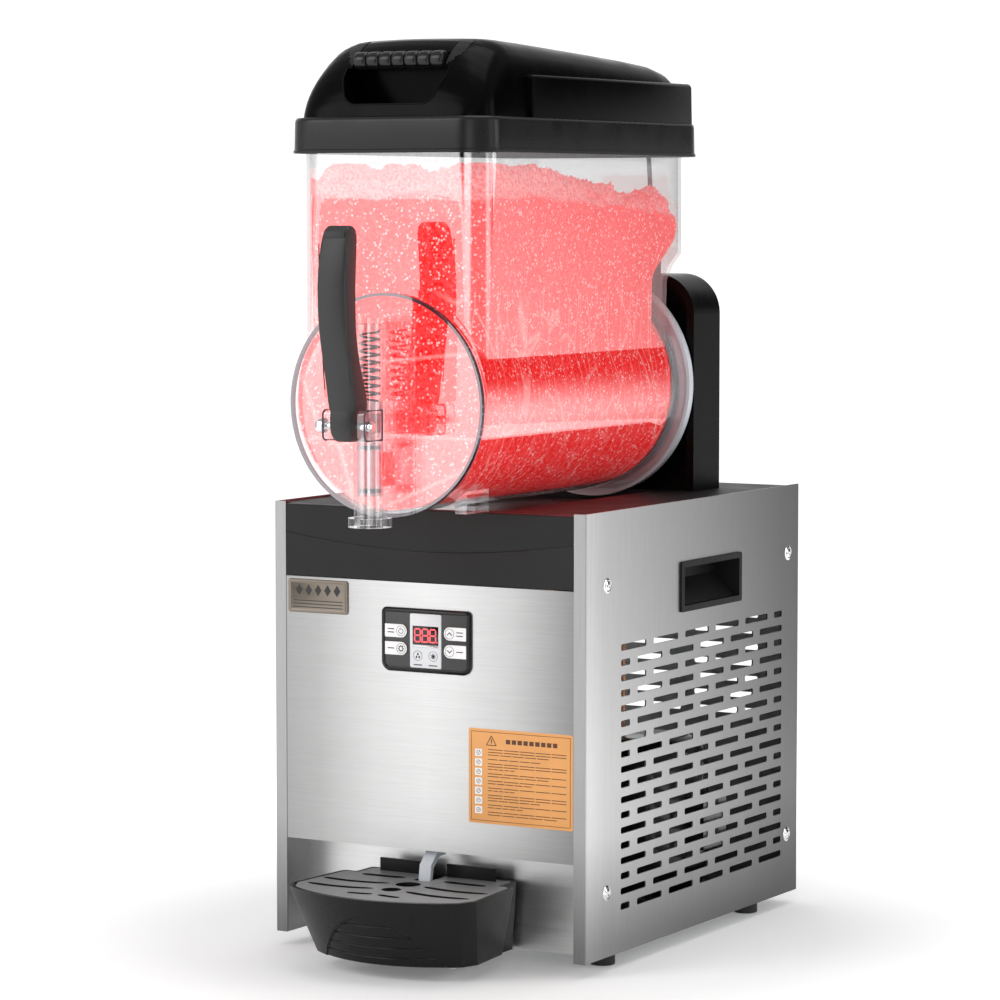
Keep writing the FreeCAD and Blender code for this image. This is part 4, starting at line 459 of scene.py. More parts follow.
FINISH = {
    FRONT_STEEL: "front_panel", BAY_STEEL: "lower_front_panel",
    SIDE_STEEL: "side_panel_left side_panel_right",
    ZINC: "rear_panel base_plate fan_shroud", STEEL: "panel_screws tray_bracket drive_shaft",
    DRUM: "evaporator_drum", CHROME: "pivot_pin tap_spring", FINS: "condenser",
    COPPER: "refrigerant_pipes filter_drier", BLACK: "handle_recess_left handle_recess_right fascia "
    "top_deck power_inlet tap_handle drip_tray fan_blades", SATIN: "column_frame column_rear_cover "
    "lamp_dock lid_shell", GLOSS: "control_bezel lid_grip", RUBBER: "feet shaft_seal lead_plug",
    SILICONE: "bowl_seal drain_spout", WHITE: "key_power key_setup key_up key_down",
    AUGER: "auger_spiral auger_nose", LENS: "lamp_lens", GREY_FILM: "control_overlay", GRID: "drip_grid",
    BOARD: "control_board", MOTOR: "gearmotor fan_motor", ENAMEL: "compressor", ORANGE: "caution_label",
    PEWTER: "badge_plate", DISPLAY: "display_window", CLEAR: "bowl", CLEAR_TAP: "tap_body tap_cap",
    SLUSH: "slush", MILKY: "piston piston_rings"}


def coat(piece, material):
    if not piece.data.materials:
        piece.data.materials.append(material)
    for index in range(len(piece.material_slots)):
        piece.material_slots[index].material = material


for material, names in FINISH.items():
    for name in names.split():
        coat(NODES[name], material)
coat(lead, LEAD)


# ---------------------------------------------------------------- mesh helpers
def shade(piece, angle=38):
    piece.data.shade_smooth()
    piece.data.set_sharp_from_angle(angle=math.radians(angle))
    return piece


def form(name, points, faces, merge=True):
    """A mesh object from millimetre points in the cabinet frame."""
    mesh = bpy.data.meshes.new(name)
    mesh.from_pydata([at(*p) for p in points], [], faces)
    tidy = bmesh.new()
    tidy.from_mesh(mesh)
    if merge:
        bmesh.ops.remove_doubles(tidy, verts=tidy.verts, dist=2e-6)
        bmesh.ops.dissolve_degenerate(tidy, edges=tidy.edges, dist=1e-7)
    bmesh.ops.recalc_face_normals(tidy, faces=tidy.faces)
    tidy.to_mesh(mesh)
    tidy.free()
    piece = bpy.data.objects.new(name, mesh)
    SCENE.collection.objects.link(piece)
    return piece


def skin_over(name, rings, ends=True, around=False):
    """Faces over a run of closed rings. ends caps the first and last, around joins them."""
    n = len(rings[0])
    points = [p for ring in rings for p in ring]
    faces = []
    count = len(rings)
    for i in range(count if around else count - 1):
        a, b = i * n, ((i + 1) % count) * n
        faces += [(a + k, a + (k + 1) % n, b + (k + 1) % n, b + k) for k in range(n)]
    if ends and not around:
        faces += [tuple(range(n)), tuple(range((count - 1) * n, count * n))]
    return form(name, points, faces)


def corners(points, radii, steps=6):
    """A closed outline with each corner rounded to its own radius."""
    if isinstance(radii, (int, float)):
        radii = [radii] * len(points)
    out = []
    n = len(points)
    for i, (point, radius) in enumerate(zip(points, radii)):
        p = Vector(point)
        a, b = (Vector(points[i - 1]) - p), (Vector(points[(i + 1) % n]) - p)
        if radius <= 0 or a.length < 1e-6 or b.length < 1e-6:
            out += [tuple(p)] * (1 if radius <= 0 else steps + 1)
            continue
        turn = math.pi - a.angle(b)
        reach = min(radius * math.tan(turn / 2), a.length * 0.49, b.length * 0.49)
        a, b = p + a.normalized() * reach, p + b.normalized() * reach
        for k in range(steps + 1):
            t = k / steps
            w = math.sqrt(0.5) + (1 - math.sqrt(0.5)) * abs(2 * t - 1) ** 2
            q = (a * (1 - t) ** 2 + p * (2 * t * (1 - t) * w) + b * t ** 2)
            q /= (1 - t) ** 2 + 2 * t * (1 - t) * w + t ** 2
            out.append(tuple(q))
    return out


def rectangle(x, y, radii=0.0, steps=6):
    return corners([(x[0], y[0]), (x[1], y[0]), (x[1], y[1]), (x[0], y[1])], radii, steps)


def plate_y(name, outline, profile):
    """A plate facing the front: outline(inset) gives (x, z) points, profile lists (inset, y)."""
    return skin_over(name, [[(x, y, z) for x, z in outline(inset)] for inset, y in profile])


def lathe(name, centre, axis, profile, steps=48, ends=True):
    """A turned piece: profile lists (distance along axis, radius)."""
    u, v = {"x": ((0, 1, 0), (0, 0, 1)), "y": ((1, 0, 0), (0, 0, 1)), "z": ((1, 0, 0), (0, 1, 0))}[axis]
    w = {"x": (1, 0, 0), "y": (0, 1, 0), "z": (0, 0, 1)}[axis]
    rings = []
    for along, radius in profile:
        ring = []
        for k in range(steps):
            a = math.tau * k / steps
            c, s = radius * math.cos(a), radius * math.sin(a)
            ring.append(tuple(centre[i] + w[i] * along + u[i] * c + v[i] * s for i in range(3)))
        rings.append(ring)
    return skin_over(name, rings, ends)


def wire(name, points, radius, closed=True, sides=8):
    """A thin round bead along points."""
    n = len(points)
    rings = []
    for i in range(n):
        p = Vector(points[i])
        a = Vector(points[i - 1] if closed or i else points[0])
        b = Vector(points[(i + 1) % n] if closed or i < n - 1 else points[-1])
        run = (b - a).normalized()
        side = run.cross(Vector((0, 1, 0)))
        side = (run.cross(Vector((0, 0, 1))) if side.length < 1e-3 else side).normalized()
        up = run.cross(side)
        rings.append([tuple(p + side * radius * math.cos(math.tau * k / sides)
                            + up * radius * math.sin(math.tau * k / sides)) for k in range(sides)])
    return skin_over(name, rings, not closed, closed)


def settle(piece):
    """Turns a piece's modifiers into its plain mesh."""
    graph = bpy.context.evaluated_depsgraph_get()
    mesh = bpy.data.meshes.new_from_object(piece.evaluated_get(graph), preserve_all_data_layers=True,
                                           depsgraph=graph)
    piece.modifiers.clear()
    piece.data = mesh
    return piece


def combine(piece, tool, how="DIFFERENCE"):
    change = piece.modifiers.new("change", "BOOLEAN")
    change.operation, change.object, change.solver = how, tool, "EXACT"
    bpy.context.view_layer.update()
    settle(piece)
    bpy.data.objects.remove(tool)
    return piece


def bevel(piece, width, segments=2, angle=32):
    change = piece.modifiers.new("edge", "BEVEL")
    change.width, change.segments, change.limit_method = width * MM, segments, "ANGLE"
    change.angle_limit = math.radians(angle)
    return settle(piece)


def block(name, x, y, z, edge=0.0, segments=2):
    ring = [(x[0], y[0]), (x[1], y[0]), (x[1], y[1]), (x[0], y[1])]
    piece = skin_over(name, [[(a, b, c) for a, b in ring] for c in z])
    return bevel(piece, edge, segments) if edge else piece


def merge(name, pieces):
    """Several mesh objects made into one."""
    tidy = bmesh.new()
    for piece in pieces:
        tidy.from_mesh(piece.data)
        bpy.data.objects.remove(piece)
    mesh = bpy.data.meshes.new(name)
    tidy.to_mesh(mesh)
    tidy.free()
    piece = bpy.data.objects.new(name, mesh)
    SCENE.collection.objects.link(piece)
    return piece


def fit_out(piece, material, body="root", instead=(), angle=38):
    """Gives a finished piece its material, its body and the nodes it stands for."""
    piece.data.materials.clear()
    piece.data.materials.append(material)
    shade(piece, angle)
    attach(piece, body)
    if instead:
        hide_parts(*instead)
    return piece


class Grow(Nodes):
    """A geometry-node tree whose inputs are named and set by identifier."""

    def __init__(self, name):
        self.tree = bpy.data.node_groups.new(name, "GeometryNodeTree")
        self.tree.interface.new_socket("Geometry", in_out="OUTPUT", socket_type="NodeSocketGeometry")
        self.tree.interface.new_socket("Geometry", in_out="INPUT", socket_type="NodeSocketGeometry")
        self.entry = self.tree.nodes.new("NodeGroupInput")
        self.values = {}

    def ask(self, name, kind, value):
        socket = self.tree.interface.new_socket(name, in_out="INPUT", socket_type="NodeSocket" + kind)
        self.values[socket.identifier] = value
        return self.entry.outputs[name]

    def make(self, piece, last, material):
        real = self.add("GeometryNodeRealizeInstances", {0: last})
        coated = self.add("GeometryNodeSetMaterial", {"Geometry": real.outputs[0], "Material": material})
        out = self.tree.nodes.new("NodeGroupOutput")
        self.tree.links.new(coated.outputs[0], out.inputs[0])
        grow = piece.modifiers.new("grow", "NODES")
        grow.node_group = self.tree
        for identifier, value in self.values.items():
            grow[identifier] = value
        bpy.context.view_layer.update()
        return settle(piece)


def row_of(piece, count, step, material):
    """Repeats a piece count times, each step millimetres on from the last."""
    g = Grow("row_of_" + piece.name)
    number = g.ask("Count", "Int", count)
    shift = g.ask("Step", "Vector", tuple(s * MM for s in step))
    line = g.add("GeometryNodeMeshLine", {"Count": number, "Offset": shift}, mode="OFFSET")
    stand = g.add("GeometryNodeInstanceOnPoints", {"Points": line.outputs[0],
                                                   "Instance": g.entry.outputs["Geometry"]})
    return g.make(piece, stand.outputs[0], material)


# ---------------------------------------------------------------- lid
LID_BASE, LID_FRONT, LID_BACK = 748.0, -68.0, 336.0
LID_SIDE = [(-68, 748), (-67.2, 752), (-65, 762), (-61, 773), (-54.5, 785), (-47, 795.5), (-39, 804),
            (-30, 811), (-21, 815.5), (-10, 817.3), (10, 817.5), (60, 815.6), (120, 812.8), (180, 810),
            (240, 806.8), (284, 803.8), (303, 800), (316, 793), (325, 782), (331, 768), (334.6, 756),
            (336, 748)]
LID_ACROSS = [(1.0, 0.0), (0.992, 0.12), (0.981, 0.26), (0.968, 0.40), (0.950, 0.53), (0.925, 0.65),
              (0.892, 0.755), (0.850, 0.84), (0.797, 0.905), (0.733, 0.952), (0.655, 0.982), (0.56, 0.997),
              (0.42, 1.004), (0.22, 1.008), (0.0, 1.01)]
LID_HALF, LID_CORNER = 98.0, 27.0
LID_WALL = 3.0


def lid_height(y):
    y = min(max(y, LID_SIDE[0][0]), LID_SIDE[-1][0])
    for (a, za), (b, zb) in zip(LID_SIDE, LID_SIDE[1:]):
        if y <= b:
            return za + (zb - za) * (y - a) / (b - a) - LID_BASE
    return 0.0


def lid_half(y):
    near = min(y - LID_FRONT, LID_BACK - y)
    if near >= LID_CORNER:
        return LID_HALF
    return LID_HALF - (LID_CORNER - math.sqrt(max(LID_CORNER ** 2 - (LID_CORNER - near) ** 2, 0.0)))


def lid_lean(y):
    """How far the lid's section has gone from boxy to round, towards its front."""
    return 0.62 * max(0.0, min(1.0, (-4.0 - y) / 56.0))


def lid_rise(share, rise, y):
    lean = lid_lean(y)
    return rise * (1 - lean) + lean * math.sqrt(max(0.0, 1 - share ** 2.3))


def lid_top(x, y):
    """Height of the lid's outer skin above its base at a place."""
    share = min(abs(x) / lid_half(y), 1.0)
    for (a, fa), (b, fb) in zip(LID_ACROSS, LID_ACROSS[1:]):
        if share >= b:
            rise = fa + (fb - fa) * (a - share) / (a - b) if a != b else fa
            return lid_height(y) * lid_rise(share, rise, y)
    return lid_height(y)


def lid_front_at(x, z):
    """The y at which the lid's front slope passes a height."""
    low, high = LID_FRONT, -12.0
    for _ in range(26):
        middle = (low + high) / 2
        if lid_top(x, middle) < z - LID_BASE:
            low = middle
        else:
            high = middle
    return (low + high) / 2


def lid_dome(name, inset):
    stops = []
    for (a, _), (b, _) in zip(LID_SIDE, LID_SIDE[1:]):
        parts = 3 if b - a < 14 else 5
        stops += [a + (b - a) * k / parts for k in range(parts)]
    stops.append(LID_SIDE[-1][0])
    rings = []
    middle = (LID_FRONT + LID_BACK) / 2
    for y in stops:
        half, high = lid_half(y), lid_height(y)
        squeeze = 1 - inset / ((LID_BACK - LID_FRONT) / 2)
        place = middle + (y - middle) * squeeze
        line = [(sign * share * max(half - inset, 0.01), place,
                 LID_BASE + max(lid_rise(share, rise, y) * high - (inset if high > inset else high), 0.0))
                for sign, run in ((1, LID_ACROSS), (-1, LID_ACROSS[-2::-1])) for share, rise in run]
        low = LID_BASE - 1.5 - inset
        rings.append([(line[0][0], place, low)] + line + [(line[-1][0], place, low)])
    return skin_over(name, rings)


def window_line(top):
    """The front window's outline below a height, as (x, z)."""
    return corners([(52.5, top), (52.5, 782), (43, 759), (-43, 759), (-52.5, 782), (-52.5, top)],
                   [0, 6, 13, 13, 6, 0], 8)


WINDOW, WINDOW_TOP = window_line(800), 791.5
ROLL_Y, ROLL_Z, ROLL_R = -42.0, 798.0, 8.0
ROLL_HALF, ROLL_RIBS = 46.0, 7


def lid():
    shell = lid_dome("lid_shell_skin", 0.0)
    room = skin_over("room", [[(x, y, min(z, WINDOW_TOP)) for x, z in WINDOW] for y in (-90.0, -22.0)])
    cavity = lid_dome("cavity", LID_WALL)
    wall = skin_over("wall", [[(x * 1.05, y, min(z, 794.0) - (2.5 if z < 770 else 0)) for x, z in WINDOW]
                              for y in (-95.0, -19.5)])
    combine(cavity, wall)
    combine(shell, cavity)
    combine(shell, room)
    combine(shell, lathe("groove", (0, ROLL_Y, ROLL_Z), "x", [(-47, ROLL_R + 1.0), (47, ROLL_R + 1.0)], 40))
    ring = []
    for inset, z in ((4.5, 716.5), (0.4, 716.5), (0.0, 717.0), (0.0, 719.2), (0.9, 719.8), (1.0, 722),
                     (1.5, 744), (2.2, 746.6), (4.0, 748.0), (11.5, 748.4), (12.5, 745.0), (5.6, 744.4)):
        ring.append([(x, y, z) for x, y in rectangle((-106 + inset, 106 - inset), (-76 + inset, 345 - inset),
                                                     32 - inset, 12)])
    rim = skin_over("lid_rim", ring, False, True)
    side = []
    for sign in (-1, 1):
        box = [(86, 14), (102, 14), (102, 322), (86, 322)]
        side.append(skin_over("side", [[(sign * (x - d * (x > 90)), y + d * (1 if y < 100 else -1), z)
                                        for x, y in box] for z, d in ((746, 0), (783.0, 0.5), (785.5, 2.4))]))
    blocks = bevel(merge("lid_side_blocks", side), 1.3, 3)
    fit_out(shell, LID, "lid", ["lid_shell"], 30)
    fit_out(rim, RIM, "lid")
    fit_out(blocks, LID, "lid")

    path, dense = window_line(WINDOW_TOP), []
    for a, b in zip(path, path[1:]):
        parts = max(1, int((Vector(b) - Vector(a)).length / 4))
        dense += [(a[0] + (b[0] - a[0]) * k / parts, a[1] + (b[1] - a[1]) * k / parts) for k in range(parts)]
    outline = [(x, lid_front_at(x, z), z) for x, z in dense + [path[-1]]]
    fit_out(wire("lid_window_bead", outline, 0.75, False), SATIN, "lid")

    pitch = 2 * ROLL_HALF / ROLL_RIBS
    half = [(-0.49, 5.0), (-0.47, 6.9), (-0.42, 7.6), (-0.3, 7.95), (0, ROLL_R)]
    profile = [(share * pitch, r) for share, r in half + [(-share, r) for share, r in half[-2::-1]]]
    rib = lathe("lid_grip_ribs", (-ROLL_HALF + pitch / 2, ROLL_Y, ROLL_Z), "x", profile, 48)
    ribs = row_of(rib, ROLL_RIBS, (pitch, 0, 0), GLOSS)
    core = lathe("core", (0, ROLL_Y, ROLL_Z), "x", [(-ROLL_HALF, 5.6), (ROLL_HALF, 5.6)], 24)
    fit_out(merge("lid_grip_roll", [ribs, core]), GRIP, "lid", ["lid_grip"])

    points, faces, index = [], [], {}
    for i in range(61):
        for j in range(26):
            x, y = -60 + 2.0 * i, -50 + 1.75 * j
            if 47.5 < abs(x) <= 60 and -52 + 1.25 * (abs(x) - 47) < y < -14:
                index[i, j] = len(points)
                points.append((x, y, LID_BASE + lid_top(x, y) + 0.5))
    for (i, j), a in index.items():
        quad = [index.get(k) for k in ((i, j), (i + 1, j), (i + 1, j + 1), (i, j + 1))]
        if None not in quad:
            faces.append(tuple(quad))
    pad = form("lid_grip_pad", points, faces)
    thick = pad.modifiers.new("thick", "SOLIDIFY")
    thick.thickness, thick.offset = 0.9 * MM, -1.0
    fit_out(settle(pad), KNURL, "lid", angle=50)


# ---------------------------------------------------------------- frozen drink
WALL_INSET = 3.5
AXIS_Z = 500.0                                   # the cylinder's axis
HOPPER_FRONT, HOPPER_BACK, HOPPER_CORNER = -67.0, 330.0, 30
NECK_BACK, NECK_LOW, NECK_HIGH = 283.0, 600, 646  # the back wall steps out between two heights
DRINK_FRONT = HOPPER_FRONT + WALL_INSET


def hopper_half(z, inset):
    return 93.3 + 4.7 * ((z - AXIS_Z) / 244.7) - inset


def hopper_ring(z, inset, steps=8):
    half = hopper_half(z, inset)
    t = min(max((z - NECK_LOW) / (NECK_HIGH - NECK_LOW), 0.0), 1.0)
    rear = NECK_BACK + (HOPPER_BACK - NECK_BACK) * (3 * t * t - 2 * t ** 3) - inset
    return [(x, y, z) for x, y in rectangle((-half, half), (HOPPER_FRONT + inset, rear),
                                            HOPPER_CORNER - inset, steps)]


def wall_line(x, y):
    """Height at which the drink leaves the hopper's wall."""
    fall = max(0.0, (y - 60.0) / 260.0)
    wave = noise.noise(Vector((x * 0.022, y * 0.022, 3.1))) * 7.0
    return 675.0 + wave - 20.0 * fall ** 1.6


def heap(x, y):
    """Height of the loose froth in the middle."""
    swell = noise.noise(Vector((x * 0.026 + 7.0, y * 0.022, 0.4))) * 15.0
    fall = max(0.0, (y - 90.0) / 230.0)
    return 688.0 + swell - 30.0 * fall ** 1.3


def drink():
    body = skin_over("slush_mass", [hopper_ring(z, WALL_INSET) for z in
                                    (500, 540, 580, 600, 606, 612, 618, 624, 630, 636, 642, 646, 655)])
    tube = lathe("tube", (0, 0, AXIS_Z), "y", [(-62.4, 92.0), (-62.4, 97.5), (290.0, 97.5), (290.0, 96)], 128)
    nx, ny = 23, 45
    spots = [(-90.5 + 181.0 * i / (nx - 1), -60.0 + 384.0 * j / (ny - 1))
             for j in range(ny) for i in range(nx)]
    firsts = [j * nx + i for j in range(ny - 1) for i in range(nx - 1)]
    froth = form("froth", [(x, y, heap(x, y)) for x, y in spots],
                 [(a, a + 1, a + nx + 1, a + nx) for a in firsts], False)
    g = Grow("froth_lumps")
    density = g.ask("Lumps per square metre", "Float", 3600.0)
    seed = g.ask("Seed", "Int", 11)
    small, large = g.ask("Smallest", "Float", 0.0045), g.ask("Largest", "Float", 0.0165)
    spots = g.add("GeometryNodeDistributePointsOnFaces",
                  {"Mesh": g.entry.outputs["Geometry"], "Density": density, "Seed": seed})
    size = g.add("FunctionNodeRandomValue", {"Seed": seed}, data_type="FLOAT")
    for socket in size.inputs:
        if socket.type == "VALUE" and socket.name in ("Min", "Max"):
            g.feed(small if socket.name == "Min" else large, socket)
    ball = g.add("GeometryNodeMeshIcoSphere", {"Radius": 1.0, "Subdivisions": 2})
    stand = g.add("GeometryNodeInstanceOnPoints", {"Points": spots.outputs[0], "Instance": ball.outputs[0],
                                                   "Scale": size.outputs[1]})
    lumps = g.make(froth, stand.outputs[0], SLUSH)

    fill = [[(x, y, wall_line(x, y) * (1 - share) + heap(x, y) * share)
             for x, y, _ in hopper_ring(650.0, WALL_INSET + 9.0 * share, 9)]
            for share in (0, 1 / 3, 2 / 3, 1)]
    core = skin_over("core", [hopper_ring(650, WALL_INSET, 9)] + fill)
    mass = merge("slush_body", [body, tube, core, lumps])
    melt = mass.modifiers.new("melt", "REMESH")
    melt.mode, melt.voxel_size = "VOXEL", 2.5 * MM
    settle(mass)
    mesh = mass.data
    froth_share = []
    for v in mesh.vertices:
        x, y, z = v.co.x / MM, (v.co.y - FRONT_Y) / MM, (v.co.z - BASE_Z) / MM
        line = wall_line(x, y)
        if z > line - 14:
            lift = noise.fractal(Vector((x, y, z)) * 0.12, 0.7, 2.2, 4) * 3.6
            lift += abs(noise.noise(Vector((x, y, z)) * 0.30)) * 5.0
            place = Vector((x, y, z)) + Vector((0.3, 0.2, 1.0)) * lift * min(1.0, (z - line + 14) / 14)
            x, y, z = place
        if z > 560:
            half, bend = hopper_half(z, WALL_INSET), HOPPER_CORNER - WALL_INSET
            x = max(-half, min(half, x))
            y = max(DRINK_FRONT, min(HOPPER_BACK - WALL_INSET, y))
            out_x, out_y = abs(x) - (half - bend), DRINK_FRONT + bend - y
            reach = math.hypot(out_x, out_y)
            if out_x > 0 and out_y > 0 and reach > bend:
                x = math.copysign(half - bend + out_x * bend / reach, x)
                y = DRINK_FRONT + bend - out_y * bend / reach
            z = min(z, 708.0)
            away = min(half - abs(x), y - DRINK_FRONT)
            if away < 4.0 and z > line:
                z = line + (z - line) * max(0.0, away / 4.0) * 0.5
        v.co = at(x, y, z)
        speck = noise.noise(Vector((x, y, z)) * 0.06)
        tone = max(0.0, min(1.0, (z - line) / 3.0 + speck * 0.8))
        rear = max(0.0, min(1.0, (y - 60.0) / 180.0))
        froth_share.append(tone * (1.0 - 0.75 * rear * (0.6 + speck)))
    mesh.attributes.new("froth", "FLOAT", "POINT").data.foreach_set("value", froth_share)
    combine(mass, lathe("room", (0, 0, AXIS_Z), "y", [(-59.4, 95.2), (300.0, 95.2)], 128))
    fit_out(mass, SLUSH, "bowl", ["slush"], 60)


# ---------------------------------------------------------------- tap
def tap():
    stations = [  # height, front, back, half width, chamfer
        (466.5, -139.0, -127.0, 7.0, 2.5), (468.0, -142.5, -123.5, 8.6, 3.0),
        (473.0, -145.6, -120.8, 9.8, 3.2), (480.0, -146.6, -119.4, 10.4, 3.2),
        (487.0, -146.2, -119.0, 10.8, 3.2), (492.0, -145.0, -118.8, 11.0, 3.2),
        (495.0, -144.2, -118.6, 12.6, 3.4), (498.0, -144.4, -119.2, 13.4, 3.4),
        (504.0, -145.4, -120.6, 13.8, 3.6), (512.0, -146.6, -123.4, 14.0, 3.8),
        (524.0, -149.4, -128.2, 14.0, 3.8), (536.0, -152.4, -132.2, 14.0, 3.8),
        (550.0, -156.0, -135.8, 14.0, 3.8), (564.0, -158.6, -137.8, 14.0, 3.8),
        (580.0, -160.4, -138.6, 14.0, 3.8), (600.0, -161.0, -138.6, 14.0, 3.8),
        (615.0, -159.8, -138.0, 14.0, 3.8), (628.0, -157.4, -137.2, 14.0, 3.8),
        (638.0, -154.8, -136.4, 13.9, 3.6), (645.0, -152.4, -136.2, 13.5, 3.2),
        (649.5, -150.2, -137.0, 12.6, 2.4), (652.2, -148.0, -139.0, 11.0, 1.8),
        (653.3, -146.4, -141.0, 9.0, 1.0)]
    rings = []
    for z, front, rear, half, cut in stations:
        outline = corners([(-half, front), (half, front), (half, rear), (-half, rear)], cut, 3)
        rings.append([(x, y, z) for x, y in outline])
    handle = skin_over("tap_handle_lever", rings)
    finger = block("finger", (-3.4, 3.4), (-128, -90.2), (477.2, 482.8), 1.2)
    ridges = [block("tread", (-10.5, 10.5), (-153.6 + 1.9 * k, -152.5 + 1.9 * k),
                    (643.0 + 1.35 * k, 647.4 + 1.35 * k), 0.3) for k in range(5)]
    flute = []
    for x in (13.85, -13.85):
        run = [(x, (-146.5 - 9.4 * math.sin(math.pi * (z - 505) / 260)), z) for z in range(512, 640, 6)]
        flute.append(wire("flute", run, 0.55, False, 6))
    fit_out(merge("tap_handle_lever", [handle, finger] + ridges + flute), HANDLE, "handle",
            ["tap_handle"], 30)

    g = Grow("coil")
    turns, radius = g.ask("Turns", "Float", 9.0), g.ask("Radius", "Float", 8.4 * MM)
    height, thick = g.ask("Height", "Float", 61.0 * MM), g.ask("Wire", "Float", 1.0 * MM)
    path = g.add("GeometryNodeCurveSpiral", {"Resolution": 40, "Rotations": turns, "Start Radius": radius,
                                             "End Radius": radius, "Height": height})
    round_wire = g.add("GeometryNodeCurvePrimitiveCircle", {"Resolution": 10, "Radius": thick}, mode="RADIUS")
    tube = g.add("GeometryNodeCurveToMesh", {"Curve": path.outputs[0], "Profile Curve": round_wire.outputs[0],
                                             "Fill Caps": True})
    place = g.add("GeometryNodeTransform", {"Geometry": tube.outputs[0], "Translation": at(0, -96, 500.4)})
    spring = form("tap_spring_coil", [(0, 0, 0), (1, 0, 0), (0, 1, 0)], [(0, 1, 2)])
    g.make(spring, place.outputs[0], SPRING)
    fit_out(spring, SPRING, "bowl", ["tap_spring"], 60)
    # painted shade: dark beads trace the edges of the clear ears
    for sign in (-1, 1):
        ring = corners([(-139.0, 467.4), (-110.0, 467.4), (-110.0, 493.6), (-139.0, 493.6)], [5, 1, 1, 5], 5)
        bead = wire("tap_ear_edge_" + ("left" if sign < 0 else "right"),
                    [(sign * 21.3, y, z) for y, z in ring], 0.9)
        fit_out(bead, CLEAR_EDGE_SHADE, "bowl")
    knob = lathe("pin_knob", (-27.2, -133, 480), "x", [(-5.2, 0.6), (-4.6, 3.2), (-2.8, 5.2), (0, 6.3),
                                                       (2.8, 5.2), (4.6, 3.0), (5.2, 2.4)], 32)
    tip = lathe("pin_tip", (23.2, -133, 480), "x",
                [(-1.0, 4.6), (0.6, 4.6), (1.4, 4.0), (2.0, 2.4), (2.2, 0.4)], 28)
    fit_out(merge("pivot_pin_ends", [knob, tip]), CHROME, "bowl")
    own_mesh(spring)


def disc_edge():
    """The clear front disc's thick rim, given a dark tint as painted shade for how its thick clear edge looks
    from the side.
    """
    ring = []
    for radius, y in ((98.9, -70.9), (99.0, -70.4), (99.0, -66.6), (98.9, -66.1), (96.6, -66.1),
                      (96.4, -70.9)):
        ring.append([(radius * math.cos(math.tau * k / 160), y, 495 + radius * math.sin(math.tau * k / 160))
                     for k in range(160)])
    edge = skin_over("bowl_disc_edge", ring, False, True)
    fit_out(edge, CLEAR_EDGE_SHADE, "bowl")


# ---------------------------------------------------------------- fascia and controls
def fascia():
    rings = []
    for k in range(49):
        x = -150.4 + 300.8 * k / 48
        line = 359.8 + 12.2 * (abs(x) / 150.4) ** 1.9
        rings.append([(x, y, z) for y, z in (
            (3, 332.1), (0.2, 332.1), (-0.5, 332.8), (-0.5, line - 0.55), (-0.3, line), (0.35, line + 0.35),
            (0.5, line + 1.2), (0.15, line + 2.2), (0.0, 397.0), (0.5, 397.8), (1.2, 398), (12, 398),
            (12, 395), (3, 395))])
    fit_out(skin_over("fascia_moulding", rings), FASCIA, "root", ["fascia"], 28)


def panel_outline(inset):
    return rectangle((-47 + inset, 47 - inset), (250.5 + inset, 308.5 - inset),
                     [max(9 - inset, 1), max(9 - inset, 1), max(5 - inset, 1), max(5 - inset, 1)], 8)


def flat(name, outline, y, thick=0.25):
    """A thin printed shape on a plate that faces the front."""
    ring = list(outline)
    return skin_over(name, [[(x, y + thick, z) for x, z in ring], [(x, y, z) for x, z in ring]])


def hoop(name, x, z, radius, width, y, sweep=(0.0, 1.0), steps=40, thick=0.22):
    turns = [sweep[0] + (sweep[1] - sweep[0]) * k / steps for k in range(steps + 1)]
    inner = [(x + (radius - width) * math.cos(math.tau * t), z + (radius - width) * math.sin(math.tau * t))
             for t in turns]
    outer = [(x + radius * math.cos(math.tau * t), z + radius * math.sin(math.tau * t)) for t in turns]
    points = [(a, y, b) for a, b in inner + outer] + [(a, y + thick, b) for a, b in inner + outer]
    n, full = len(turns), 2 * len(turns)
    faces = []
    for k in range(n - 1):
        faces += [(k, k + 1, n + k + 1, n + k), (full + k, full + n + k, full + n + k + 1, full + k + 1),
                  (k, full + k, full + k + 1, k + 1), (n + k, n + k + 1, full + n + k + 1, full + n + k)]
    return form(name, points, faces)


def stroke(name, a, b, width, y, thick=0.22):
    a, b = Vector(a), Vector(b)
    side = (b - a).normalized().orthogonal() * width / 2
    ring = [tuple(a + side), tuple(b + side), tuple(b - side), tuple(a - side)]
    return flat(name, ring, y, thick)


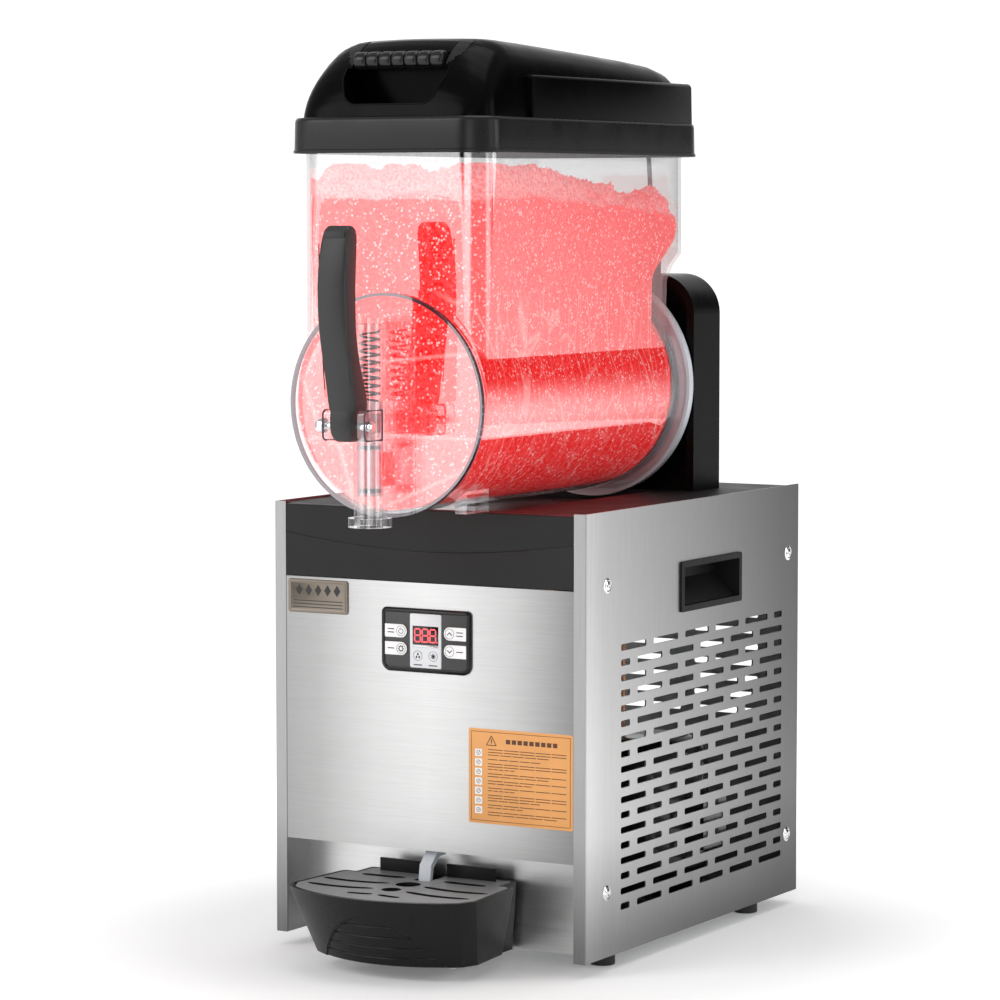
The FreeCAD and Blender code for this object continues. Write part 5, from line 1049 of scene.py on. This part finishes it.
def controls():
    frame_piece = plate_y("control_bezel_frame", panel_outline, [
        (0, 0.5), (0, -0.9), (0.5, -1.4), (2.6, -2.5), (3.4, -2.5), (3.9, -2.2), (4.1, -1.7)])
    fit_out(frame_piece, GLOSS, "root", ["control_bezel"], 25)
    face = plate_y("control_face", lambda i: panel_outline(4.1 + i), [(0, -1.5), (0, -1.75), (0.1, -1.8)])
    fit_out(face, DARK_FILM, "root")
    for name, half, low, high, radius, profile, material, slot, instead in (
            ("control_overlay_film", 16.4, 255, 304, 1.6, [(0, -1.7), (0, -2.1), (0.2, -2.3)], GREY_FILM,
             "grey_panel", ["control_overlay"]),
            ("display_glass", 13.5, 276, 293, 0.5, [(0, -2.2), (0, -2.4), (0.2, -2.5)], DISPLAY,
             "display_glass", ["display_window"]),
            ("display_strip", 13.5, 273.6, 275.7, 0.3, [(0, -2.2), (0, -2.5), (0.3, -2.8)], STEEL,
             "steel", [])):
        pane = plate_y(name, lambda i: rectangle((-half + i, half - i), (low + i, high - i), radius), profile)
        fit_out(pane, material, "root", instead)

    lit = []
    half, bar, gap = 3.0, 1.15, 0.35
    low, mid, top = 278.7, 284.5, 290.3
    for digit in range(3):
        cx = -8.2 + 8.0 * digit
        left, right = cx - half, cx + half
        for a, b in (((left, top), (right, top)), ((left, mid), (right, mid)), ((left, low), (right, low)),
                     ((left, mid), (left, top)), ((right, mid), (right, top)), ((left, low), (left, mid)),
                     ((right, low), (right, mid))):
            a, b = Vector(a), Vector(b)
            run = (b - a).normalized()
            side, tip = run.orthogonal() * bar / 2, run * bar / 2
            a, b = a + run * gap, b - run * gap
            ring = [tuple(p) for p in (a, a + tip + side, b - tip + side, b, b - tip - side, a + tip - side)]
            lit.append(flat("bar", ring, -2.66, 0.18))
        lit.append(flat("dot", [(right + 1.35 + 0.6 * math.cos(math.tau * k / 12), low + 0.1 + 0.6
                                 * math.sin(math.tau * k / 12)) for k in range(12)], -2.66, 0.18))
    fit_out(merge("display_digits", lit), GLOW, "root")

    marks = []
    for x in (-8.0, 8.0):
        marks.append(hoop("ring", x, 266.0, 4.6, 0.28, -2.42))
        marks.append(stroke("line", (x - 4.4, 257.6), (x + 4.4, 257.6), 0.9, -2.42))
    for dx, dz in ((0, 1.5), (-1.4, -1.1), (1.4, -1.1)):
        x, z = -8.0 + dx, 266.0 + dz
        marks.append(flat("drop", [(x + 0.85 * math.sin(a) * (1 - 0.35 * math.cos(a)), z + 1.2 * math.cos(a))
                                   for a in [math.tau * k / 16 for k in range(16)]], -2.42))
    for k in range(4):
        a = math.tau * k / 8 + math.pi / 8
        marks.append(stroke("blade", (8 - 2.6 * math.cos(a), 266 - 2.6 * math.sin(a)),
                            (8 + 2.6 * math.cos(a), 266 + 2.6 * math.sin(a)), 0.7, -2.42))
    fit_out(merge("control_overlay_marks", marks), INK, "root")

    for key, sign, low in (("power", -1, 281.5), ("setup", -1, 265.5), ("up", 1, 281.5), ("down", 1, 265.5)):
        body, node = key + "_key", "key_" + key
        inner, outer, top = 19.5, 42.6, low + 12.0

        def outline(i):
            points = [(sign * (inner + i), low + i), (sign * (outer - i), low + i),
                      (sign * (outer - i), top - i), (sign * (inner + i), top - i)]
            round_end = 6.0 - i - 0.01
            return corners(points, [round_end, 0.6, 0.6, round_end], 8)

        tab = plate_y("key_tab_" + key, outline, [(0, -2.46), (0, -2.6), (0.35, -2.85), (1.0, -2.9)])
        fit_out(tab, WHITE, body, [node], 25)
        x, z, y = sign * (inner + 6.0), low + 6.0, -3.02
        marks = [hoop("ring", x, z, 4.7, 0.3, y)]
        if key == "power":
            marks += [hoop("arc", x, z, 2.6, 0.55, y, (0.33, 1.17)),
                      stroke("tick", (x, z + 0.6), (x, z + 3.2), 0.55, y)]
        elif key == "setup":
            marks += [hoop("gear", x, z, 2.2, 0.6, y)]
            marks += [stroke("tooth", (x + 2.0 * math.cos(a), z + 2.0 * math.sin(a)),
                             (x + 3.1 * math.cos(a), z + 3.1 * math.sin(a)), 1.0, y)
                      for a in [math.tau * k / 8 for k in range(8)]]
        else:
            tip = 1.3 if key == "up" else -1.3
            marks += [stroke("wing", (x - 2.6, z - tip), (x + 0.25, z + tip), 0.8, y),
                      stroke("wing", (x + 2.6, z - tip), (x - 0.25, z + tip), 0.8, y)]
        marks += [stroke("caption", (sign * 32.6, z + d), (sign * 39.5, z + d), 0.8, y) for d in
                  ((1.5, -1.5) if key in ("power", "up") else (0.0,))]
        fit_out(merge("key_marks_" + key, marks), INK, body)


def badge():
    def outline(i):
        return rectangle((-148 + i, -83.6 - i), (298.5 + i, 329.2 - i), max(2.6 - i, 0.8), 5)
    plate = plate_y("badge_plate_bevelled", outline,
                    [(0, 0.5), (0, -0.5), (0.5, -1.0), (2.2, -1.1), (2.9, -0.7), (3.1, -0.6)])
    fit_out(plate, PEWTER, "root", ["badge_plate"], 25)
    marks = [stroke("line", (-142.6, z), (-89.2, z), 0.8, -0.72) for z in (303.6, 306.6, 309.6)]
    z = 319.4
    for x in [-136.0 + 10.2 * k for k in range(5)]:
        marks.append(flat("diamond", [(x, z - 5.2), (x + 3.6, z), (x, z + 5.2), (x - 3.6, z)], -0.72))
    fit_out(merge("badge_marks", marks), INK, "root")


def label():
    sheet = plate_y("label_film", lambda i: rectangle((43.5 + i, 150.3 - i), (118.5 + i, 204 - i), 1.5),
                    [(0, 0.5), (0, 0.36), (0.1, 0.3)])
    fit_out(sheet, ORANGE, "root", ["caution_label"])
    lines, tiles = [], []
    y = 0.18
    left, right, low, high = 46.2, 147.6, 121.2, 201.3
    for outline, width in (([(left, low), (right, low), (right, high), (left, high)], 0.4),
                           ([(62.0, 189.5), (72.0, 189.5), (67.0, 198.0)], 0.7)):
        for a, b in zip(outline, outline[1:] + outline[:1]):
            lines.append(stroke("edge", a, b, width, y))
    lines.append(stroke("sign", (67.0, 191.2), (67.0, 195.4), 0.9, y))
    for k in range(9):
        lines.append(stroke("head", (82.0 + 6.0 * k, 193.6), (86.4 + 6.0 * k, 193.6), 4.0, y))
    row, z = 0, 185.6
    start, parts = 63.5, 5
    for count in (3, 1, 3, 2, 2, 2, 3, 2, 2):
        for k in range(count):
            end = 145.0 if k < count - 1 else 92.0 + 8.7 * ((row * 5) % 6)
            step = (end - start) / parts
            for q in range(parts):
                a, b = start + step * q, start + step * (q + 1) - 1.3
                lines.append(stroke("text", (a, z), (b, z), 0.62, y))
            z -= 2.45
            row += 1
        z -= 1.55
    for k in range(7):
        c = 182.2 - 8.6 * k
        tiles.append(flat("tile", [(50.2, c - 3.3), (57.4, c - 3.3), (57.4, c + 3.3), (50.2, c + 3.3)], y))
        lines.append(hoop("sign", 53.8, c, 2.1, 0.42, y - 0.12, steps=18))
        lines.append(stroke("sign", (52.8, c - 0.9 + 0.3 * (k % 3)), (54.8, c + 0.9), 0.4, y - 0.12))
    fit_out(merge("label_print", lines), LABEL_INK, "root")
    fit_out(merge("label_tiles", tiles), WHITE, "root")


def screws():
    pieces = []
    for sign in (-1, 1):
        for y in (41.0, 411.0):
            for z in (58.0, 334.0):
                cup = lathe("cup", (sign * 162.5, y, z), "x", [(sign * d, r) for d, r in (
                    (0.0, 7.2), (0.25, 7.2), (0.9, 6.3), (1.3, 5.3), (1.2, 4.9), (0.5, 4.7))], 32)
                head = lathe("head", (sign * 162.5, y, z), "x", [(sign * d, r) for d, r in (
                    (0.2, 4.6), (0.9, 4.5), (1.5, 3.6), (1.85, 2.2), (1.95, 0.4))], 24)
                x = (162.9, 165.0) if sign > 0 else (-165.0, -162.9)
                for long, high in ((2.6, 0.55), (0.55, 2.6)):
                    combine(head, block("cross", x, (y - long, y + long), (z - high, z + high)))
                pieces += [cup, head]
    fit_out(merge("panel_screw_heads", pieces), CHROME, "root", ["panel_screws"], 30)


# ---------------------------------------------------------------- drip tray
def tray_outline(low, inset=0.0, fine=48):
    shrink = 14.0 * low + inset
    back, wide = 91.0 - shrink, 97.0 - shrink
    tongue = 77.0 - inset - 4.0 * low
    rear, step, nose = 30.0 - inset, 3.0 - inset, -120.0 + inset + 27.0 * low
    corner = nose + 34.0
    radius = (wide ** 2 + 34.0 ** 2) / 68.0
    half = 0.89 * math.asin(wide / radius)
    bow = [(radius * math.sin(half * (1 - 2 * k / fine)), nose + radius - radius
            * math.cos(half * (1 - 2 * k / fine))) for k in range(fine + 1)]
    points = [(tongue, rear), (tongue, step), (back, step), (wide - 0.7, corner + 9.0)]
    points = points + bow + [(-x, y) for x, y in reversed(points)]
    radii = [3, 2, 7, 1.5] + [0] * len(bow) + [1.5, 7, 2, 3]
    return corners(points, radii, 5)


def tray():
    top, bottom = 63.0, 0.4
    levels = 84
    outer = []
    for k in range(levels + 1):
        z = bottom + (top - bottom) * k / levels
        low = (top - z) / (top - bottom)
        ring = []
        for x, y in tray_outline(low, 0.0, 200):
            depth = 0.0
            if y < -60.0:
                reach = 60.0 * max(0.0, (45.8 - z) / 40.8) ** 0.47
                inside = reach - abs(x - 3.0)
                if inside > 0:
                    depth = 2.4 * min(1.0, inside / 1.6) - 0.02 * (45.8 - z)
                    for groove in (37.7, 27.7, 17.8, 8.2):
                        off = abs(z - groove - 0.0006 * x * x)
                        if off < 1.3:
                            depth += 1.2 * (1 - off / 1.3)
            ring.append((x, y + depth, z))
        outer.append(ring)
    lip = [[(x, y, z) for x, y in tray_outline(0.0, i, 200)]
           for i, z in ((0.35, top), (1.6, top), (2.4, top - 0.6))]
    inner = [[(x, y, z) for x, y in tray_outline((top - z) / 62.6, i, 200)]
             for i, z in ((2.5, 59.2), (5.4, 58.8), (5.5, 56.0), (5.5, 4.0), (9.0, 2.9))]
    outer[0] = [(x * 0.985, y * 0.985, z) for x, y, z in outer[0]]
    tub = skin_over("drip_tray_tub", outer + lip + inner)
    combine(tub, block("notch", (-8, 8), (-12, 31), (53, 64.5)))
    fit_out(tub, TRAY, "tray", ["drip_tray"], 32)

    plate = skin_over("drip_grid_plate", [[(x, y, z) for x, y in tray_outline(0.05, i, 60)] for i, z in (
        (3.0, 59.2), (3.0, 62.6), (3.4, 63.0))])
    cuts = []

    def slot(x0, x1, y0, y1, bow, width):
        """A curved slot from (x0, y0) to (x1, y1) that dips by bow in the middle."""
        run = [(x0 + (x1 - x0) * k / 14, y0 + (y1 - y0) * k / 14 - bow * (1 - (2 * k / 14 - 1) ** 2))
               for k in range(15)]
        left, right = [], []
        for k, (x, y) in enumerate(run):
            a, b = run[max(k - 1, 0)], run[min(k + 1, 14)]
            side = Vector((b[0] - a[0], b[1] - a[1])).normalized().orthogonal()
            w = width / 2 * math.sqrt(max(0.12, 1 - abs(2 * k / 14 - 1) ** 6))
            left.append((x + side.x * w, y + side.y * w))
            right.append((x - side.x * w, y - side.y * w))
        ring = left + right[::-1]
        cuts.append(skin_over("slot", [[(x, y, z) for x, y in ring] for z in (58.0, 65.0)]))

    for sign in (-1, 1):
        slot(sign * 86, sign * 18.5, -38.0, -35.5, 5.6, 8.0)
        slot(sign * 84, sign * 17.0, -68.0, -64.5, 5.2, 8.0)
        slot(sign * 65, sign * 20.5, -6.0, -4.6, 1.2, 9.0)
        slot(sign * 27, sign * 3.0, -92.6, -89.0, 0.9, 7.0)
    for y, r in ((-33.0, 11.5), (-62.0, 9.0)):
        cuts.append(lathe("hole", (0, y, 58), "z", [(0, r), (7, r)], 40))
    cuts.append(block("gap", (-8, 8), (-12, 31), (58, 65)))
    for cut in cuts:
        combine(plate, cut)
    walls = [block("upstand", x, (17.5, 20.0), (60.5, 75.0), 0.7) for x in ((10, 61), (-61, -10))]
    fit_out(merge("drip_grid_plate", [plate] + walls), GRID, "grid", ["drip_grid"], 30)


lid()
drink()
tap()
disc_edge()
fascia()
controls()
badge()
label()
screws()
tray()
